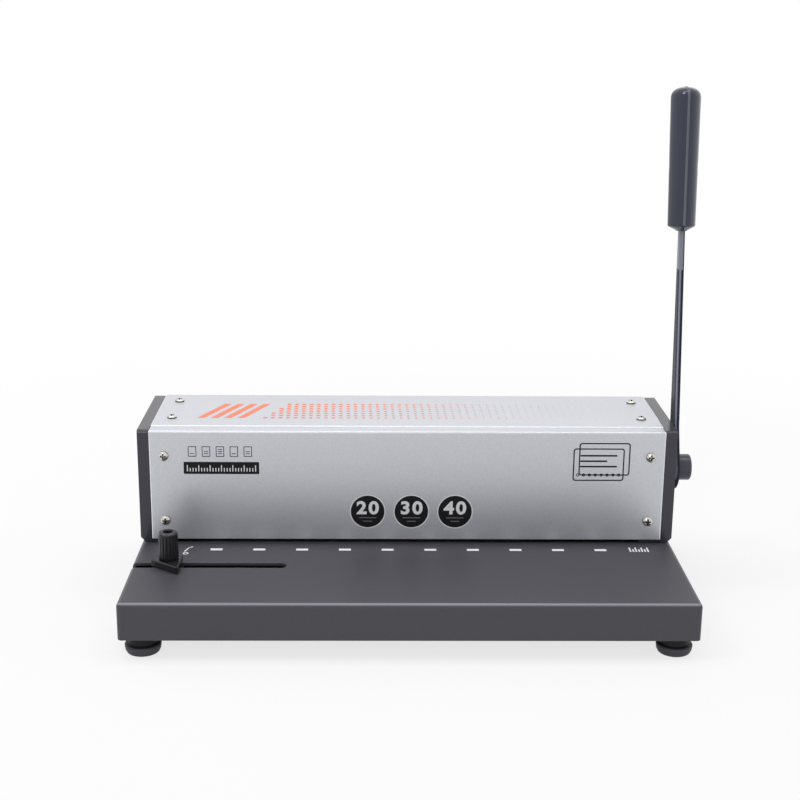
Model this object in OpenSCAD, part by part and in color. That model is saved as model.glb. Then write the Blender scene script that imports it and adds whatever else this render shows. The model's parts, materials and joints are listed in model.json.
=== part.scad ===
// Manual strip binding machine: a lever turns a shaft with two pinions, which drive a bar of
// rectangular punches down through a stripper and a die. Millimetres, Z up, Y away from the user.

/* [Base] */
// Width of the base
base_w = 377; // [343:1:413]
// Depth of the base
base_d = 208; // [192:1:228]
// Height of the base shell
base_h = 25.5; // [24:0.5:32]
// Sheet thickness of the base
base_sheet = 2; // [1.5:0.1:2.2]
// Radius of the base's upright corners and of the bend round the table
base_edge_r = 3; // [2.8:0.1:4]
// Thickness of the bottom plate
bottom_t = 1.5; // [1:0.1:2]
// Diameter of a corner post
post_d = 11; // [9:0.5:12]

/* [Feet] */
// Diameter of a foot's rim
foot_d = 24; // [20:0.5:25]
// Height of a foot
foot_h = 13.5; // [11:0.5:18]
// Height of a foot's rim
foot_rim_h = 6; // [5:0.5:7]
// Draw-in of a foot's rim towards the floor
foot_taper = 1.5; // [0.5:0.1:2.5]
// Diameter of a foot's neck
foot_neck_d = 19; // [14:0.5:20]
// Distance from the base's sides to a foot's axis
foot_inset_x = 14.3; // [13:0.1:18]
// Distance from the base's front and back to a foot's axis
foot_inset_y = 14.5; // [13:0.5:20]

/* [Housing] */
// Distance from the base's side to the cover's side
side_step = 7.75; // [6.5:0.25:10.5]
// Distance from the base's rear to the housing's rear
rear_step = 9; // [7:0.5:14]
// Depth of the housing
housing_d = 92; // [86:1:100]
// Height of the housing above the table
housing_h = 83.5; // [80:0.5:92]
// Sheet thickness of the cover and rear panel
cover_sheet = 1.2; // [1:0.1:1.6]
// Depth of the lower flat along the cover's front edge
cover_band = 11.7; // [8:0.1:16]
// Step from that flat up to the cover's top
cover_step = 0.7; // [0.5:0.1:1]
// Height of the cover's rear lip
cover_lip = 15; // [12:1:20]
// Height of the paper throat
throat_h = 3; // [2.5:0.1:4]
// Thickness of an end cap
cap_t = 8; // [6.5:0.5:10]
// Set-back of an end cap's outline from the cover's
cap_set_back = 0.4; // [0.2:0.1:1]
// Radius of an end cap's upper corners
cap_corner_r = 2.5; // [1.5:0.5:4]
// Chamfer along an end cap's lower outer edge
cap_chamfer = 3.5; // [2:0.5:5]
// Wall of an end cap's inner rim
cap_rim_t = 3; // [2:0.5:4]
// Thickness of a side frame
frame_t = 8; // [7:0.5:9]
// Distance from the cover's edge to the middle of a side frame
frame_inset = 11.25; // [10.5:0.25:12]

/* [Punching] */
// Number of punches
punch_count = 10; // [10:1:10]
// Distance between punches
punch_pitch = 30; // [26:0.5:32]
// Sideways shift of the row of punches
row_shift = 1.5; // [0:0.5:3]
// Width of a punched hole
punch_w = 8; // [5:0.5:9]
// Depth of a punched hole
punch_t = 3; // [2.5:0.1:4]
// Distance from the paper's edge to the middle of the holes
paper_margin = 6.5; // [5:0.5:8]
// Height of a punch's tip above the throat at rest
tip_rise = 4.5; // [4:0.5:6]
// Thickness of the die plate
die_t = 6; // [5:0.5:6]
// Thickness of the stripper plate
stripper_t = 8; // [7:0.5:9]
// Thickness of the punch bar from front to back
ram_t = 14; // [13:0.5:15]
// Height of the punch bar
ram_h = 16; // [15:0.5:18]
// Room for the return springs below the punch bar at rest
spring_room = 24; // [23:0.5:26]
// Diameter of a guide post
guide_post_d = 8; // [6:0.5:9]
// Wire diameter of a return spring
spring_wire = 1.1; // [0.9:0.1:1.2]
// Coils of a return spring
spring_turns = 5.5; // [4:0.5:6]
// Thickness of the punch retainer
retainer_t = 4; // [3.5:0.5:5]

/* [Drive] */
// Distance from the housing's front to the shaft's axis
shaft_back = 38; // [37:0.5:42]
// Height of the shaft's axis above the table
shaft_up = 45; // [44:0.5:48]
// Diameter of the shaft
shaft_d = 12; // [11:0.5:13]
// Gear module
gear_module = 1.25; // [1.2:0.05:1.3]
// Teeth of a pinion
pinion_teeth = 16; // [16:4:16]
// Width of a pinion and its rack
gear_w = 12; // [10:1:13]
// Play between the teeth
gear_backlash = 0.2; // [0.15:0.05:0.4]
// Swing of the lever, degrees
lever_swing = 90; // [70:5:90]

/* [Lever] */
// Gap between the end cap and the lever
lever_gap = 4.25; // [3.5:0.25:5]
// Thickness of the lever bar
lever_t = 4; // [3:0.5:5]
// Lean of the lever at rest, degrees
lever_lean = 7.1; // [0:0.1:10]
// Length of the lever from the shaft to the grip's end
lever_l = 272; // [240:0.5:290]
// Radius of the lever's eye
lever_eye_r = 16; // [15:0.5:20]
// Height above the shaft where the eye runs out into the bar
lever_flare = 34; // [30:1:45]
// Width of the lever bar at the eye
lever_w_low = 17; // [14:0.5:20]
// Width of the lever bar at the grip
lever_w_high = 8; // [7:0.5:10]
// Length of the grip
grip_l = 100.5; // [80:0.5:120]
// Sideways width of the grip's lower end
grip_w_low = 19.6; // [17:0.1:22]
// Sideways width of the grip's upper end
grip_w_high = 21.4; // [18:0.1:24]
// Depth of the grip from front to back
grip_depth = 24; // [20:0.5:28]
// Length of the lever's tang in the grip
tang_l = 65; // [50:1:75]
// Diameter of the hub cap
hub_cap_d = 19; // [18:0.5:24]
// Length of the hub cap
hub_cap_l = 10.25; // [9.5:0.25:15]

/* [Paper stop] */
// Distance from the housing's front to the guide slot
slot_front = 42.5; // [38:0.5:50]
// Width of the guide slot
slot_w = 8.5; // [7.5:0.5:10]
// Length of the guide slot from the base's left side
slot_l = 105.5; // [90:0.5:140]
// Distance from the base's left side to the stop's bolt
stop_x = 25.5; // [24.5:0.5:31]
// Thickness of the stop block
stop_t = 5; // [4:0.5:7]
// Diameter of the knob
knob_d = 13.4; // [12:0.2:18]
// Height of the knob
knob_h = 19; // [16:0.5:24]
// Flutes round the knob
knob_flutes = 16; // [10:1:20]
// Diameter of the stop's bolt
stop_bolt_d = 6; // [5:0.5:6]

/* [Chip drawer] */
// Inside depth of the drawer, front to back
drawer_d = 34; // [30:1:36]
// Height of the drawer's walls
drawer_h = 13.5; // [10:0.5:14]
// Wall of the drawer
drawer_wall = 1.2; // [1:0.1:1.6]

/* [Hidden] */
$fn = 64;

// Clearances
sheet_gap = 0.3;
slide_gap = 0.3;
run_gap = 0.05;
punch_gap = 0.1;
seat_gap = 0.02;
thread_gap = 0.05;
hole_gap = 0.2;
overcut = 1;
full_turn = 360;

// Screws: low-head M4 for the works, pan-head M3 for the sheets
screw_d = 4;
screw_l = 16;
screw_head_d = 7;
screw_head_h = 2.4;
socket_d = 2.9;
socket_deep = 1.4;
pan_d = 3;
pan_l = 8;
pan_head_d = 6.9;
pan_head_h = 2.2;
pan_dome_r = 5.2;
cross_l = 4.2;
cross_w = 1.1;
cross_deep = 1.4;

// Rounding step of a foot's rim and neck
foot_edge = 1;

// Main levels and planes
table_z = foot_h + base_h;
sheet_z = table_z - base_sheet;
side_cut = base_sheet + base_edge_r;
floor_z = foot_h + bottom_t;
rear_y = base_d / 2 - rear_step;
front_y = rear_y - housing_d;
top_z = table_z + housing_h;
cover_x = base_w / 2 - side_step;
cap_x = cover_x + cap_t;
frame_x = cover_x - frame_inset;
frame_in = frame_x - frame_t / 2;
frame_out = frame_x + frame_t / 2;
lip_z = top_z - cover_lip;
step_angle = 45;

// Shaft and gears
shaft_y = front_y + shaft_back;
shaft_z = table_z + shaft_up;
gear_pitch = PI * gear_module;
pitch_r = gear_module * pinion_teeth / 2;
pressure = 20;
base_circle_r = pitch_r * cos(pressure);
tip_r = pitch_r + gear_module;
pinion_dedendum = 1.25;
rack_addendum = 0.8;
rack_dedendum = 1.2;
root_r = pitch_r - pinion_dedendum * gear_module;
rack_tip_y = rack_addendum * gear_module;
rack_root_y = rack_dedendum * gear_module;
tooth_t = gear_pitch / 2 - gear_backlash / 2;
stroke = 2 * PI * pitch_r * lever_swing / full_turn;

// Ram, from the shaft forwards
rack_y = shaft_y - pitch_r;
rack_back = 8;
ram_rear = rack_y - rack_back;
ram_front = ram_rear - ram_t;
punch_y = ram_rear - ram_t / 2;
ram_end_gap = 5.5;
ram_x = frame_in - ram_end_gap;
ram_z = table_z + throat_h + stripper_t + spring_room;
ram_top = ram_z + ram_h;
retainer_top = ram_top + retainer_t;
rack_top = shaft_z + stroke + 2 * gear_pitch;
rack_screw_edge = 4.2;
retainer_inset = 2;
retainer_side = 0.5;
tip_z = table_z + throat_h + tip_rise;
punch_head_reach = 1;
punch_head_w = punch_w + 2 * punch_head_reach;
punch_head_t = punch_t + 2 * punch_head_reach;
punch_head_h = 2;
guide_post_x = (punch_count / 2 - 1) * punch_pitch;
rack_x = (punch_count / 2 - 2) * punch_pitch;
rack_screw_z = [ram_z + rack_screw_edge, ram_top - rack_screw_edge];
retainer_screw_x = [for (k = [-2, -1, 1, 2]) row_shift + k * punch_pitch];
retainer_x = ram_x - retainer_inset;

// Die set
die_lead = 4;
die_d = 32;
plate_inset = 1;
bolt_edge = 6;
stripper_screw_edge = 16.5;
frame_bolt_back = 26;
die_front = ram_front - die_lead;
die_rear = die_front + die_d;
stop_y = punch_y + paper_margin;
plate_rear = die_rear - plate_inset;
plate_front = die_front + plate_inset;
stripper_z = table_z + throat_h;
stripper_top = stripper_z + stripper_t;
stripper_screw_x = [for (k = [-2 : 2]) k / 2 * (frame_in - stripper_screw_edge)];
stripper_screw_y = plate_rear - bolt_edge;
die_bolt_y = [die_front + bolt_edge, die_rear - bolt_edge];
frame_bolt_y = rear_y - frame_bolt_back;

// Tie bar above the ram
tie_z = retainer_top + slide_gap;
tie_h = 18;
tie_back_gap = 0.5;
tie_screw_edge = 4.6;
tie_rear = ram_rear - tie_back_gap;
tie_screw_z = [tie_z + tie_screw_edge, tie_z + tie_h - tie_screw_edge];

// Cover and cap screws
screw_offset = 1.3;
front_screw_low = 16.8;
front_screw_high = 64.4;
top_screw_near = 30.7;
top_screw_far = 73.5;
rear_screw_edge = 12;
cap_screw_edge = 14;
cap_screw_back = 30;
front_screw_x = frame_x + screw_offset;
top_screw_x = frame_x - screw_offset;
front_screw_z = [table_z + front_screw_low, table_z + front_screw_high];
top_screw_y = [front_y + top_screw_near, front_y + top_screw_far];
rear_screw_z = [table_z + rear_screw_edge, lip_z - rear_screw_edge];
cap_screws = [
    [front_y + cap_screw_edge, table_z + cap_screw_edge],
    [rear_y - cap_screw_edge, table_z + cap_screw_edge],
    [rear_y - cap_screw_back, top_z - cap_screw_edge]
];
cap_boss_d = 10;

// Shaft ends and lever
bush_wall = 2;
bush_flange = 2;
bush_flange_t = 1.5;
bush_d = shaft_d + 2 * bush_wall;
bush_flange_d = bush_d + 2 * bush_flange;
ring_t = 1.2;
ring_wall = 3;
groove_deep = 1;
shaft_land = 3;
ring_d = shaft_d + 2 * ring_wall;
groove_d = shaft_d - 2 * groove_deep;
ring_x = [-frame_out - slide_gap - ring_t, bush_flange_t + slide_gap - frame_in];
shaft_left = shaft_land - ring_x[0];
pinion_hub_wall = 3;
pinion_hub_l = 9;
pinion_hub_d = shaft_d + 2 * pinion_hub_wall;
pin_d = 3;
pin_inset = 0.5;
pin_out = (gear_w + pinion_hub_l) / 2;
washer_wall = 4;
lever_x = cap_x + lever_gap;
lever_out = lever_x + lever_t;
flat_deep = 1.5;
shaft_flats = shaft_d - 2 * flat_deep;
hub_bolt_d = 6;
hub_bolt_l = 14;
hub_bolt_head = 10;
hub_bolt_head_h = 4;
hub_washer_t = 1.2;
hub_cap_wall = 2;
hub_cap_edge = 0.8;
hub_washer_d = hub_cap_d - 2 * hub_cap_wall - 2 * sheet_gap;
grip_start = lever_l - grip_l;
grip_end = lever_l;
grip_cone = 5;
grip_dome = 7;
grip_dome_steps = 4;
grip_collar = 1.8;
grip_slice_h = 0.01;
hub_x = lever_out + hub_cap_l;

// Paper stop
slot_y = front_y - slot_front;
slot_end = slot_l - base_w / 2 - slot_w / 2;
slot_notch = 9;
bolt_x = stop_x - base_w / 2;
stop_z = table_z + slide_gap;
knob_z = stop_z + stop_t + slide_gap;
slide_t = 3;
slide_z = sheet_z - slide_gap - slide_t;
bolt_head_d = 12;
bolt_head_h = 3;
stop_corner_r = 1.2;
stop_corners = [[-10.8, -1.5], [7, -15], [7.4, 6], [-3.5, 10.5]];
slide_overlap = 5;
bolt_recess = 4;
bolt_shoulder = 0.5;
knob_rim = 2;
flute_d = 1.6;
flute_out = 0.3;
flute_top = 1;

// Drawer, under the row of holes
drawer_y = punch_y - drawer_d / 2 - drawer_wall;
drawer_rear = drawer_y + drawer_d + 2 * drawer_wall;
drawer_z = floor_z + slide_gap;
drawer_end = ram_x;
drawer_rise = 1.5;
drawer_front_h = drawer_h + drawer_rise;
finger_d = 8;
runner_t = 2;
runner_h = 8;

// Middle of the whole width, so that the origin lies below it
reach_left = max(cap_x, base_w / 2);
mid_x = (reach_left - hub_x) / 2;

module in_frame() {
    translate([mid_x, 0, 0]) children();
}

// A box from its lowest to its highest corner
module box(low, high) {
    translate(low) cube(high - low);
}

module at_shaft() {
    translate([0, shaft_y, shaft_z]) children();
}

// Turns something drawn along Z to lie along X from a given place
module along_x(x) {
    translate([x, 0, 0]) rotate([0, 90, 0]) children();
}

module rounded_rect(w, d, r) {
    square([w - 2 * r, d], center = true);
    square([w, d - 2 * r], center = true);
    for (x = [-1, 1], y = [-1, 1])
        translate([x * (w / 2 - r), y * (d / 2 - r)]) circle(r);
}

// A tray turned upside down, with round corners and a round upper edge
module tray_form(w, d, h, r) {
    hull()
        for (x = [-1, 1], y = [-1, 1])
            translate([x * (w / 2 - r), y * (d / 2 - r), 0]) {
                cylinder(r = r, h = h - r, $fn = 32);
                translate([0, 0, h - r]) rotate_extrude($fn = 32) intersection() {
                    circle(r, $fn = 32);
                    square(r);
                }
            }
}

// Outline of the housing seen from the side, drawn in by a wall
function side_outline(inset, low) =
    let (step_y = front_y + cover_band + tan(step_angle / 2) * inset)
    [
        [front_y + inset, low],
        [rear_y - inset, low],
        [rear_y - inset, top_z - inset],
        [step_y, top_z - inset],
        [step_y - cover_step / tan(step_angle), top_z - cover_step - inset],
        [front_y + inset, top_z - cover_step - inset]
    ];

// Extrudes an outline of Y and Z along X
module from_side(x, width) {
    translate([x, 0, 0]) rotate([90, 0, 90]) linear_extrude(width) children();
}

module low_screw() {
    difference() {
        union() {
            translate([0, 0, -screw_head_h]) cylinder(d = screw_head_d, h = screw_head_h);
            cylinder(d = screw_d - 2 * thread_gap, h = screw_l);
        }
        translate([0, 0, -screw_head_h - overcut])
            cylinder(d = socket_d, h = socket_deep + overcut, $fn = 6);
    }
}

// Tapped hole for a low-head screw, deep enough for its end
module low_hole() {
    translate([0, 0, -overcut]) cylinder(d = screw_d, h = screw_l + 2 * overcut);
}

// Counterbore for the head of a low-head screw
module head_hole() {
    translate([0, 0, -screw_head_h - overcut])
        cylinder(d = screw_head_d + 2 * hole_gap, h = screw_head_h + overcut);
}

// Pan-head screw, its shank along -Z from the sheet's face
module pan_screw() {
    difference() {
        union() {
            intersection() {
                cylinder(d = pan_head_d, h = pan_head_h);
                translate([0, 0, pan_head_h - pan_dome_r]) sphere(pan_dome_r);
            }
            translate([0, 0, -pan_l]) cylinder(d = pan_d - 2 * thread_gap, h = pan_l + overcut);
        }
        for (a = [0, 90])
            rotate(a) box(
                [-cross_l / 2, -cross_w / 2, pan_head_h - cross_deep],
                [cross_l / 2, cross_w / 2, pan_head_h + overcut]);
    }
}

module pan_hole() {
    translate([0, 0, -pan_l - overcut]) cylinder(d = pan_d, h = pan_l + 2 * overcut);
}

// Places of the cover's screws, each turned to point out of its face
module at_cover_screws() {
    for (x = [-1, 1]) {
        for (z = front_screw_z)
            translate([x * front_screw_x, front_y, z]) rotate([90, 0, 0]) children();
        for (y = top_screw_y)
            translate([x * top_screw_x, y, top_z]) children();
    }
}

module at_rear_screws() {
    for (x = [-1, 1], z = rear_screw_z)
        translate([x * frame_x, rear_y, z]) rotate([-90, 0, 0]) children();
}

// Screws through the outer face of an end cap, pointing to the middle
module at_cap_screws(side) {
    for (p = cap_screws)
        translate([side * (cap_x - screw_head_h), p[0], p[1]]) rotate([0, -90 * side, 0]) children();
}

module at_tie_screws() {
    for (x = [-1, 1], z = tie_screw_z)
        translate([x * frame_out, (ram_front + tie_rear) / 2, z]) rotate([0, -90 * x, 0]) children();
}

// Screws from below: the die plate's ends and the base sheet, up into the side frames
module at_frame_bolts() {
    for (x = [-1, 1]) {
        for (y = die_bolt_y)
            translate([x * frame_x, y, table_z - die_t]) children();
        translate([x * frame_x, frame_bolt_y, sheet_z]) children();
    }
}

// Screws from above, through the stripper and the back stop into the die plate
module at_stripper_screws() {
    for (x = stripper_screw_x)
        translate([x, stripper_screw_y, stripper_top]) rotate([180, 0, 0]) children();
}

// Screws from the front of the punch bar into the racks
module at_rack_screws() {
    for (x = [-1, 1], z = rack_screw_z)
        translate([row_shift + x * rack_x, ram_front + screw_head_h, z]) rotate([-90, 0, 0]) children();
}

module at_retainer_screws() {
    for (x = retainer_screw_x)
        translate([x, punch_y, retainer_top - screw_head_h]) rotate([180, 0, 0]) children();
}

function punch_x(i) = row_shift + (i - (punch_count - 1) / 2) * punch_pitch;

// The row of punched holes through a plate
module punch_holes(z, h) {
    for (i = [0 : punch_count - 1])
        translate([punch_x(i), punch_y, z + h / 2])
            cube([punch_w + 2 * punch_gap, punch_t + 2 * punch_gap, h + 2 * overcut], center = true);
}

module guide_holes(z, h, gap) {
    for (x = [-1, 1])
        translate([row_shift + x * guide_post_x, punch_y, z - overcut])
            cylinder(d = guide_post_d + 2 * gap, h = h + 2 * overcut);
}

module at_feet() {
    for (x = [-1, 1], y = [-1, 1])
        translate([x * (base_w / 2 - foot_inset_x), y * (base_d / 2 - foot_inset_y), 0]) children();
}

module base_shell() {
    color("#504e54") in_frame() difference() {
        translate([0, 0, foot_h]) difference() {
            tray_form(base_w, base_d, base_h, base_edge_r);
            translate([0, 0, -overcut]) tray_form(
                base_w - 2 * base_sheet, base_d - 2 * base_sheet, base_h - base_sheet + overcut,
                base_edge_r - base_sheet);
        }
        // Guide slot, open at the left, with a notch in the side to pass the slide plate
        box([-base_w / 2 - overcut, slot_y - slot_w / 2, sheet_z - overcut],
            [slot_end, slot_y + slot_w / 2, table_z + overcut]);
        translate([slot_end, slot_y, sheet_z - overcut]) cylinder(d = slot_w, h = base_sheet + 2 * overcut);
        box([-base_w / 2 - overcut, slot_y - slot_w / 2, table_z - slot_notch],
            [side_cut - base_w / 2, slot_y + slot_w / 2, table_z + overcut]);
        // Window for the die plate
        box([-frame_out - sheet_gap, die_front - sheet_gap, sheet_z - overcut],
            [frame_out + sheet_gap, die_rear + sheet_gap, table_z + overcut]);
        // Opening for the chip drawer
        box([-base_w / 2 - overcut, drawer_y - sheet_gap, floor_z],
            [side_cut - base_w / 2, drawer_rear + sheet_gap, drawer_z + drawer_front_h + sheet_gap]);
        for (x = [-1, 1])
            translate([x * frame_x, frame_bolt_y, sheet_z - overcut])
                cylinder(d = screw_d + 2 * hole_gap, h = base_sheet + 2 * overcut);
    }
}

module bottom_plate() {
    color("#3f3e42") in_frame() difference() {
        translate([0, 0, foot_h]) linear_extrude(bottom_t) rounded_rect(
            base_w - 2 * (base_sheet + sheet_gap), base_d - 2 * (base_sheet + sheet_gap),
            base_edge_r - base_sheet - sheet_gap);
        at_feet() translate([0, 0, foot_h - overcut])
            cylinder(d = screw_d + 2 * hole_gap, h = bottom_t + 2 * overcut);
    }
}

module corner_posts() {
    color("#8f9296") in_frame() at_feet() difference() {
        translate([0, 0, floor_z]) cylinder(d = post_d, h = sheet_z - floor_z);
        translate([0, 0, floor_z - overcut]) cylinder(d = screw_d, h = screw_l - overcut);
    }
}

// Rubber foot with a narrow neck, a rim that draws in to the floor, and a recess for its screw
module foot(x, y) {
    edge = foot_edge;
    recess_z = foot_rim_h - edge;
    color("#2b2b2d") in_frame()
        translate([x * (base_w / 2 - foot_inset_x), y * (base_d / 2 - foot_inset_y), 0]) rotate_extrude()
            polygon([
                [screw_head_d / 2 + hole_gap, 0],
                [foot_d / 2 - foot_taper, 0],
                [foot_d / 2, foot_rim_h - edge],
                [foot_d / 2 - edge, foot_rim_h],
                [foot_neck_d / 2 + edge, foot_rim_h + edge],
                [foot_neck_d / 2, foot_rim_h + 2 * edge],
                [foot_neck_d / 2, foot_h],
                [screw_d / 2 + hole_gap, foot_h],
                [screw_d / 2 + hole_gap, recess_z],
                [screw_head_d / 2 + hole_gap, recess_z]
            ]);
}

module foot_screws() {
    color("#a9adb2") in_frame() at_feet() translate([0, 0, foot_rim_h - foot_edge]) low_screw();
}

module side_frame(side) {
    x = side < 0 ? -frame_out : frame_in;
    color("#9b9ea3") in_frame() difference() {
        from_side(x, frame_t) polygon(side_outline(cover_sheet, table_z));
        at_shaft() along_x(x - overcut) cylinder(d = bush_d, h = frame_t + 2 * overcut);
        at_cover_screws() pan_hole();
        at_rear_screws() pan_hole();
        at_cap_screws(side) low_hole();
        at_tie_screws() low_hole();
        at_frame_bolts() low_hole();
    }
}

module tie_bar() {
    color("#9b9ea3") in_frame() difference() {
        box([-frame_in, ram_front, tie_z], [frame_in, tie_rear, tie_z + tie_h]);
        guide_holes(tie_z, tie_h, seat_gap);
        at_tie_screws() low_hole();
    }
}

module tie_screws() {
    color("#a9adb2") in_frame() at_tie_screws() low_screw();
}

// One bent sheet: front down to the throat, a lower flat, a step up to the top, and a lip at the rear
module cover() {
    color("#b4b6bb") in_frame() difference() {
        from_side(-cover_x, 2 * cover_x) difference() {
            polygon(side_outline(0, table_z + throat_h));
            polygon(side_outline(cover_sheet, table_z));
            translate([rear_y - 2 * cover_sheet, table_z]) square([3 * cover_sheet, lip_z - table_z]);
        }
        at_cover_screws() pan_hole();
    }
}

module cover_screws() {
    color("#c9c5b8") in_frame() at_cover_screws() pan_screw();
}

module rear_panel() {
    color("#b4b6bb") in_frame() difference() {
        box([-cover_x, rear_y - cover_sheet, table_z + sheet_gap], [cover_x, rear_y, lip_z - sheet_gap]);
        at_rear_screws() pan_hole();
    }
}

module rear_panel_screws() {
    color("#c9c5b8") in_frame() at_rear_screws() pan_screw();
}

// Outline of an end cap's plate, round at its upper corners
module cap_outline(low) {
    r = cap_corner_r;
    y0 = front_y + cap_set_back;
    y1 = rear_y - cap_set_back;
    z1 = top_z - cap_set_back;
    translate([y0, low]) square([y1 - y0, z1 - r - low]);
    translate([y0 + r, low]) square([y1 - y0 - 2 * r, z1 - low]);
    for (y = [y0 + r, y1 - r])
        translate([y, z1 - r]) circle(r);
}

// End moulding with an inner rim that reaches the side frame, screw bosses and a shaft hole
module end_cap(side) {
    x0 = side < 0 ? -cap_x : cover_x;
    rim_l = cover_x - frame_out;
    rim_x = side < 0 ? -cover_x : frame_out;
    rim = cover_sheet + sheet_gap;
    low = table_z + sheet_gap;
    color("#47464b") in_frame() difference() {
        union() {
            from_side(x0, cap_t) cap_outline(low);
            from_side(rim_x, rim_l) difference() {
                polygon(side_outline(rim, low));
                polygon(side_outline(rim + cap_rim_t, low - overcut));
            }
            for (p = cap_screws)
                translate([0, p[0], p[1]]) along_x(rim_x) cylinder(d = cap_boss_d, h = rim_l);
        }
        translate([side * cap_x, 0, low]) rotate([0, 45, 0])
            cube([sqrt(2) * cap_chamfer, 3 * housing_d, sqrt(2) * cap_chamfer], center = true);
        at_cap_screws(side) {
            cylinder(d = screw_d + 2 * hole_gap, h = 2 * screw_l, center = true);
            head_hole();
        }
        if (side > 0)
            at_shaft() along_x(x0 - overcut) cylinder(d = shaft_d + 4 * slide_gap, h = cap_t + 2 * overcut);
    }
}

module end_cap_screws() {
    color("#8f9296") in_frame() for (side = [-1, 1]) at_cap_screws(side) low_screw();
}

module die_plate() {
    color("#85888d") in_frame() difference() {
        box([-frame_out, die_front, table_z - die_t], [frame_out, die_rear, table_z]);
        punch_holes(table_z - die_t, die_t);
        at_frame_bolts() low_hole();
        at_stripper_screws() low_hole();
    }
}

// Strip behind the throat: the paper's edge comes to rest on its front
module back_stop() {
    color("#85888d") in_frame() difference() {
        box([-frame_in + sheet_gap, stop_y, table_z], [frame_in - sheet_gap, plate_rear, stripper_z]);
        at_stripper_screws() low_hole();
    }
}

module stripper_plate() {
    color("#85888d") in_frame() difference() {
        box([-frame_in + sheet_gap, plate_front, stripper_z],
            [frame_in - sheet_gap, plate_rear, stripper_top]);
        punch_holes(stripper_z, stripper_t);
        guide_holes(stripper_z, stripper_t, seat_gap);
        at_stripper_screws() low_hole();
    }
}

module die_bolts() {
    color("#a9adb2") in_frame() {
        at_frame_bolts() low_screw();
        at_stripper_screws() low_screw();
    }
}

module guide_post(side) {
    z = stripper_z + slide_gap;
    color("#c3c6ca") in_frame() translate([row_shift + side * guide_post_x, punch_y, z])
        cylinder(d = guide_post_d, h = tie_z + tie_h - z);
}

// Return spring: one wire wound round its guide post from the stripper to the punch bar
spring_ease = 1.45;
spring_r = guide_post_d / 2 + spring_wire / 2 + spring_ease;
spring_rings = 8;
wire_sides = 6;
spring_low = stripper_top + seat_gap + spring_wire / 2;
spring_high = ram_z - seat_gap - spring_wire / 2;
spring_steps = spring_turns * spring_rings;
function spring_at(s) = let (a = full_turn * s / spring_rings)
    [spring_r * cos(a), spring_r * sin(a), spring_low + (spring_high - spring_low) * s / spring_steps];
function wire_ring(s) = let (a = full_turn * s / spring_rings, c = spring_at(s))
    [for (k = [0 : wire_sides - 1]) let (b = full_turn * k / wire_sides)
        c + spring_wire / 2 * [cos(b) * cos(a), cos(b) * sin(a), sin(b)]];
// Least gap between one turn and the next
spring_gap = min([for (s = [0 : spring_steps - spring_rings])
    norm(spring_at(s + spring_rings) - spring_at(s))]) - spring_wire;
echo(spring_gap = spring_gap);

module return_spring(side) {
    points = [for (s = [0 : spring_steps]) each wire_ring(s)];
    last = wire_sides * spring_steps;
    sides = [for (s = [0 : spring_steps - 1], k = [0 : wire_sides - 1])
        let (a = s * wire_sides + k, b = s * wire_sides + (k + 1) % wire_sides)
        each [[a, a + wire_sides, b], [b, a + wire_sides, b + wire_sides]]];
    ends = [for (k = [1 : wire_sides - 2]) each [[0, k, k + 1], [last, last + k + 1, last + k]]];
    color("#b9bcc0") in_frame() translate([row_shift + side * guide_post_x, punch_y, 0])
        polyhedron(points, concat(sides, ends));
}

module bush(side) {
    color("#b08d57") in_frame() at_shaft() mirror([side < 0 ? 1 : 0, 0, 0]) difference() {
        union() {
            along_x(frame_in) cylinder(d = bush_d - 2 * seat_gap, h = frame_t);
            along_x(frame_in - bush_flange_t) cylinder(d = bush_flange_d, h = bush_flange_t);
        }
        along_x(frame_in - bush_flange_t - overcut)
            cylinder(d = shaft_d + 2 * run_gap, h = frame_t + bush_flange_t + 2 * overcut);
    }
}

// Places of the cross pins through the pinions' hubs, from the shaft's axis
module at_pins() {
    for (side = [-1, 1])
        translate([row_shift + side * (rack_x + pin_out), 0, 0]) children();
}

// Shaft with grooves for its rings, flats for the lever and a tapped end
module main_shaft() {
    color("#c3c6ca") in_frame() at_shaft() difference() {
        union() {
            along_x(-shaft_left) cylinder(d = shaft_d, h = shaft_left + lever_x);
            intersection() {
                along_x(0) cylinder(d = shaft_d, h = lever_out - seat_gap);
                box([0, -shaft_flats / 2, -shaft_d], [lever_out, shaft_flats / 2, shaft_d]);
            }
        }
        for (x = ring_x)
            along_x(x) difference() {
                cylinder(d = 2 * shaft_d, h = ring_t);
                cylinder(d = groove_d, h = ring_t);
            }
        along_x(lever_out - hub_bolt_l) cylinder(d = hub_bolt_d, h = hub_bolt_l + overcut);
        at_pins() cylinder(d = pin_d, h = 2 * shaft_d, center = true);
    }
}

// Snap rings on both sides of the left bush, which hold the shaft endways
module shaft_rings() {
    color("#8f9296") in_frame() at_shaft() for (x = ring_x)
        along_x(x + seat_gap) difference() {
            cylinder(d = ring_d, h = ring_t - 2 * seat_gap);
            translate([0, 0, -overcut]) cylinder(d = groove_d + 2 * seat_gap, h = ring_t + 2 * overcut);
        }
}

// Involute teeth: half the angle of a tooth at a radius
degrees = full_turn / (2 * PI);
function involute(r) = let (a = acos(base_circle_r / r)) tan(a) * degrees - a;
function half_tooth(r) = tooth_t / 2 / pitch_r * degrees + involute(pitch_r) - involute(r);
flank_steps = 5;
flank_r = [for (k = [0 : flank_steps]) base_circle_r + (tip_r - base_circle_r) * k / flank_steps];
function polar(r, a) = [r * cos(a), r * sin(a)];
function tooth_points(a) = concat(
    [polar(root_r, a - half_tooth(base_circle_r))],
    [for (r = flank_r) polar(r, a - half_tooth(r))],
    [for (k = [flank_steps : -1 : 0]) polar(flank_r[k], a + half_tooth(flank_r[k]))],
    [polar(root_r, a + half_tooth(base_circle_r))]);

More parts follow.
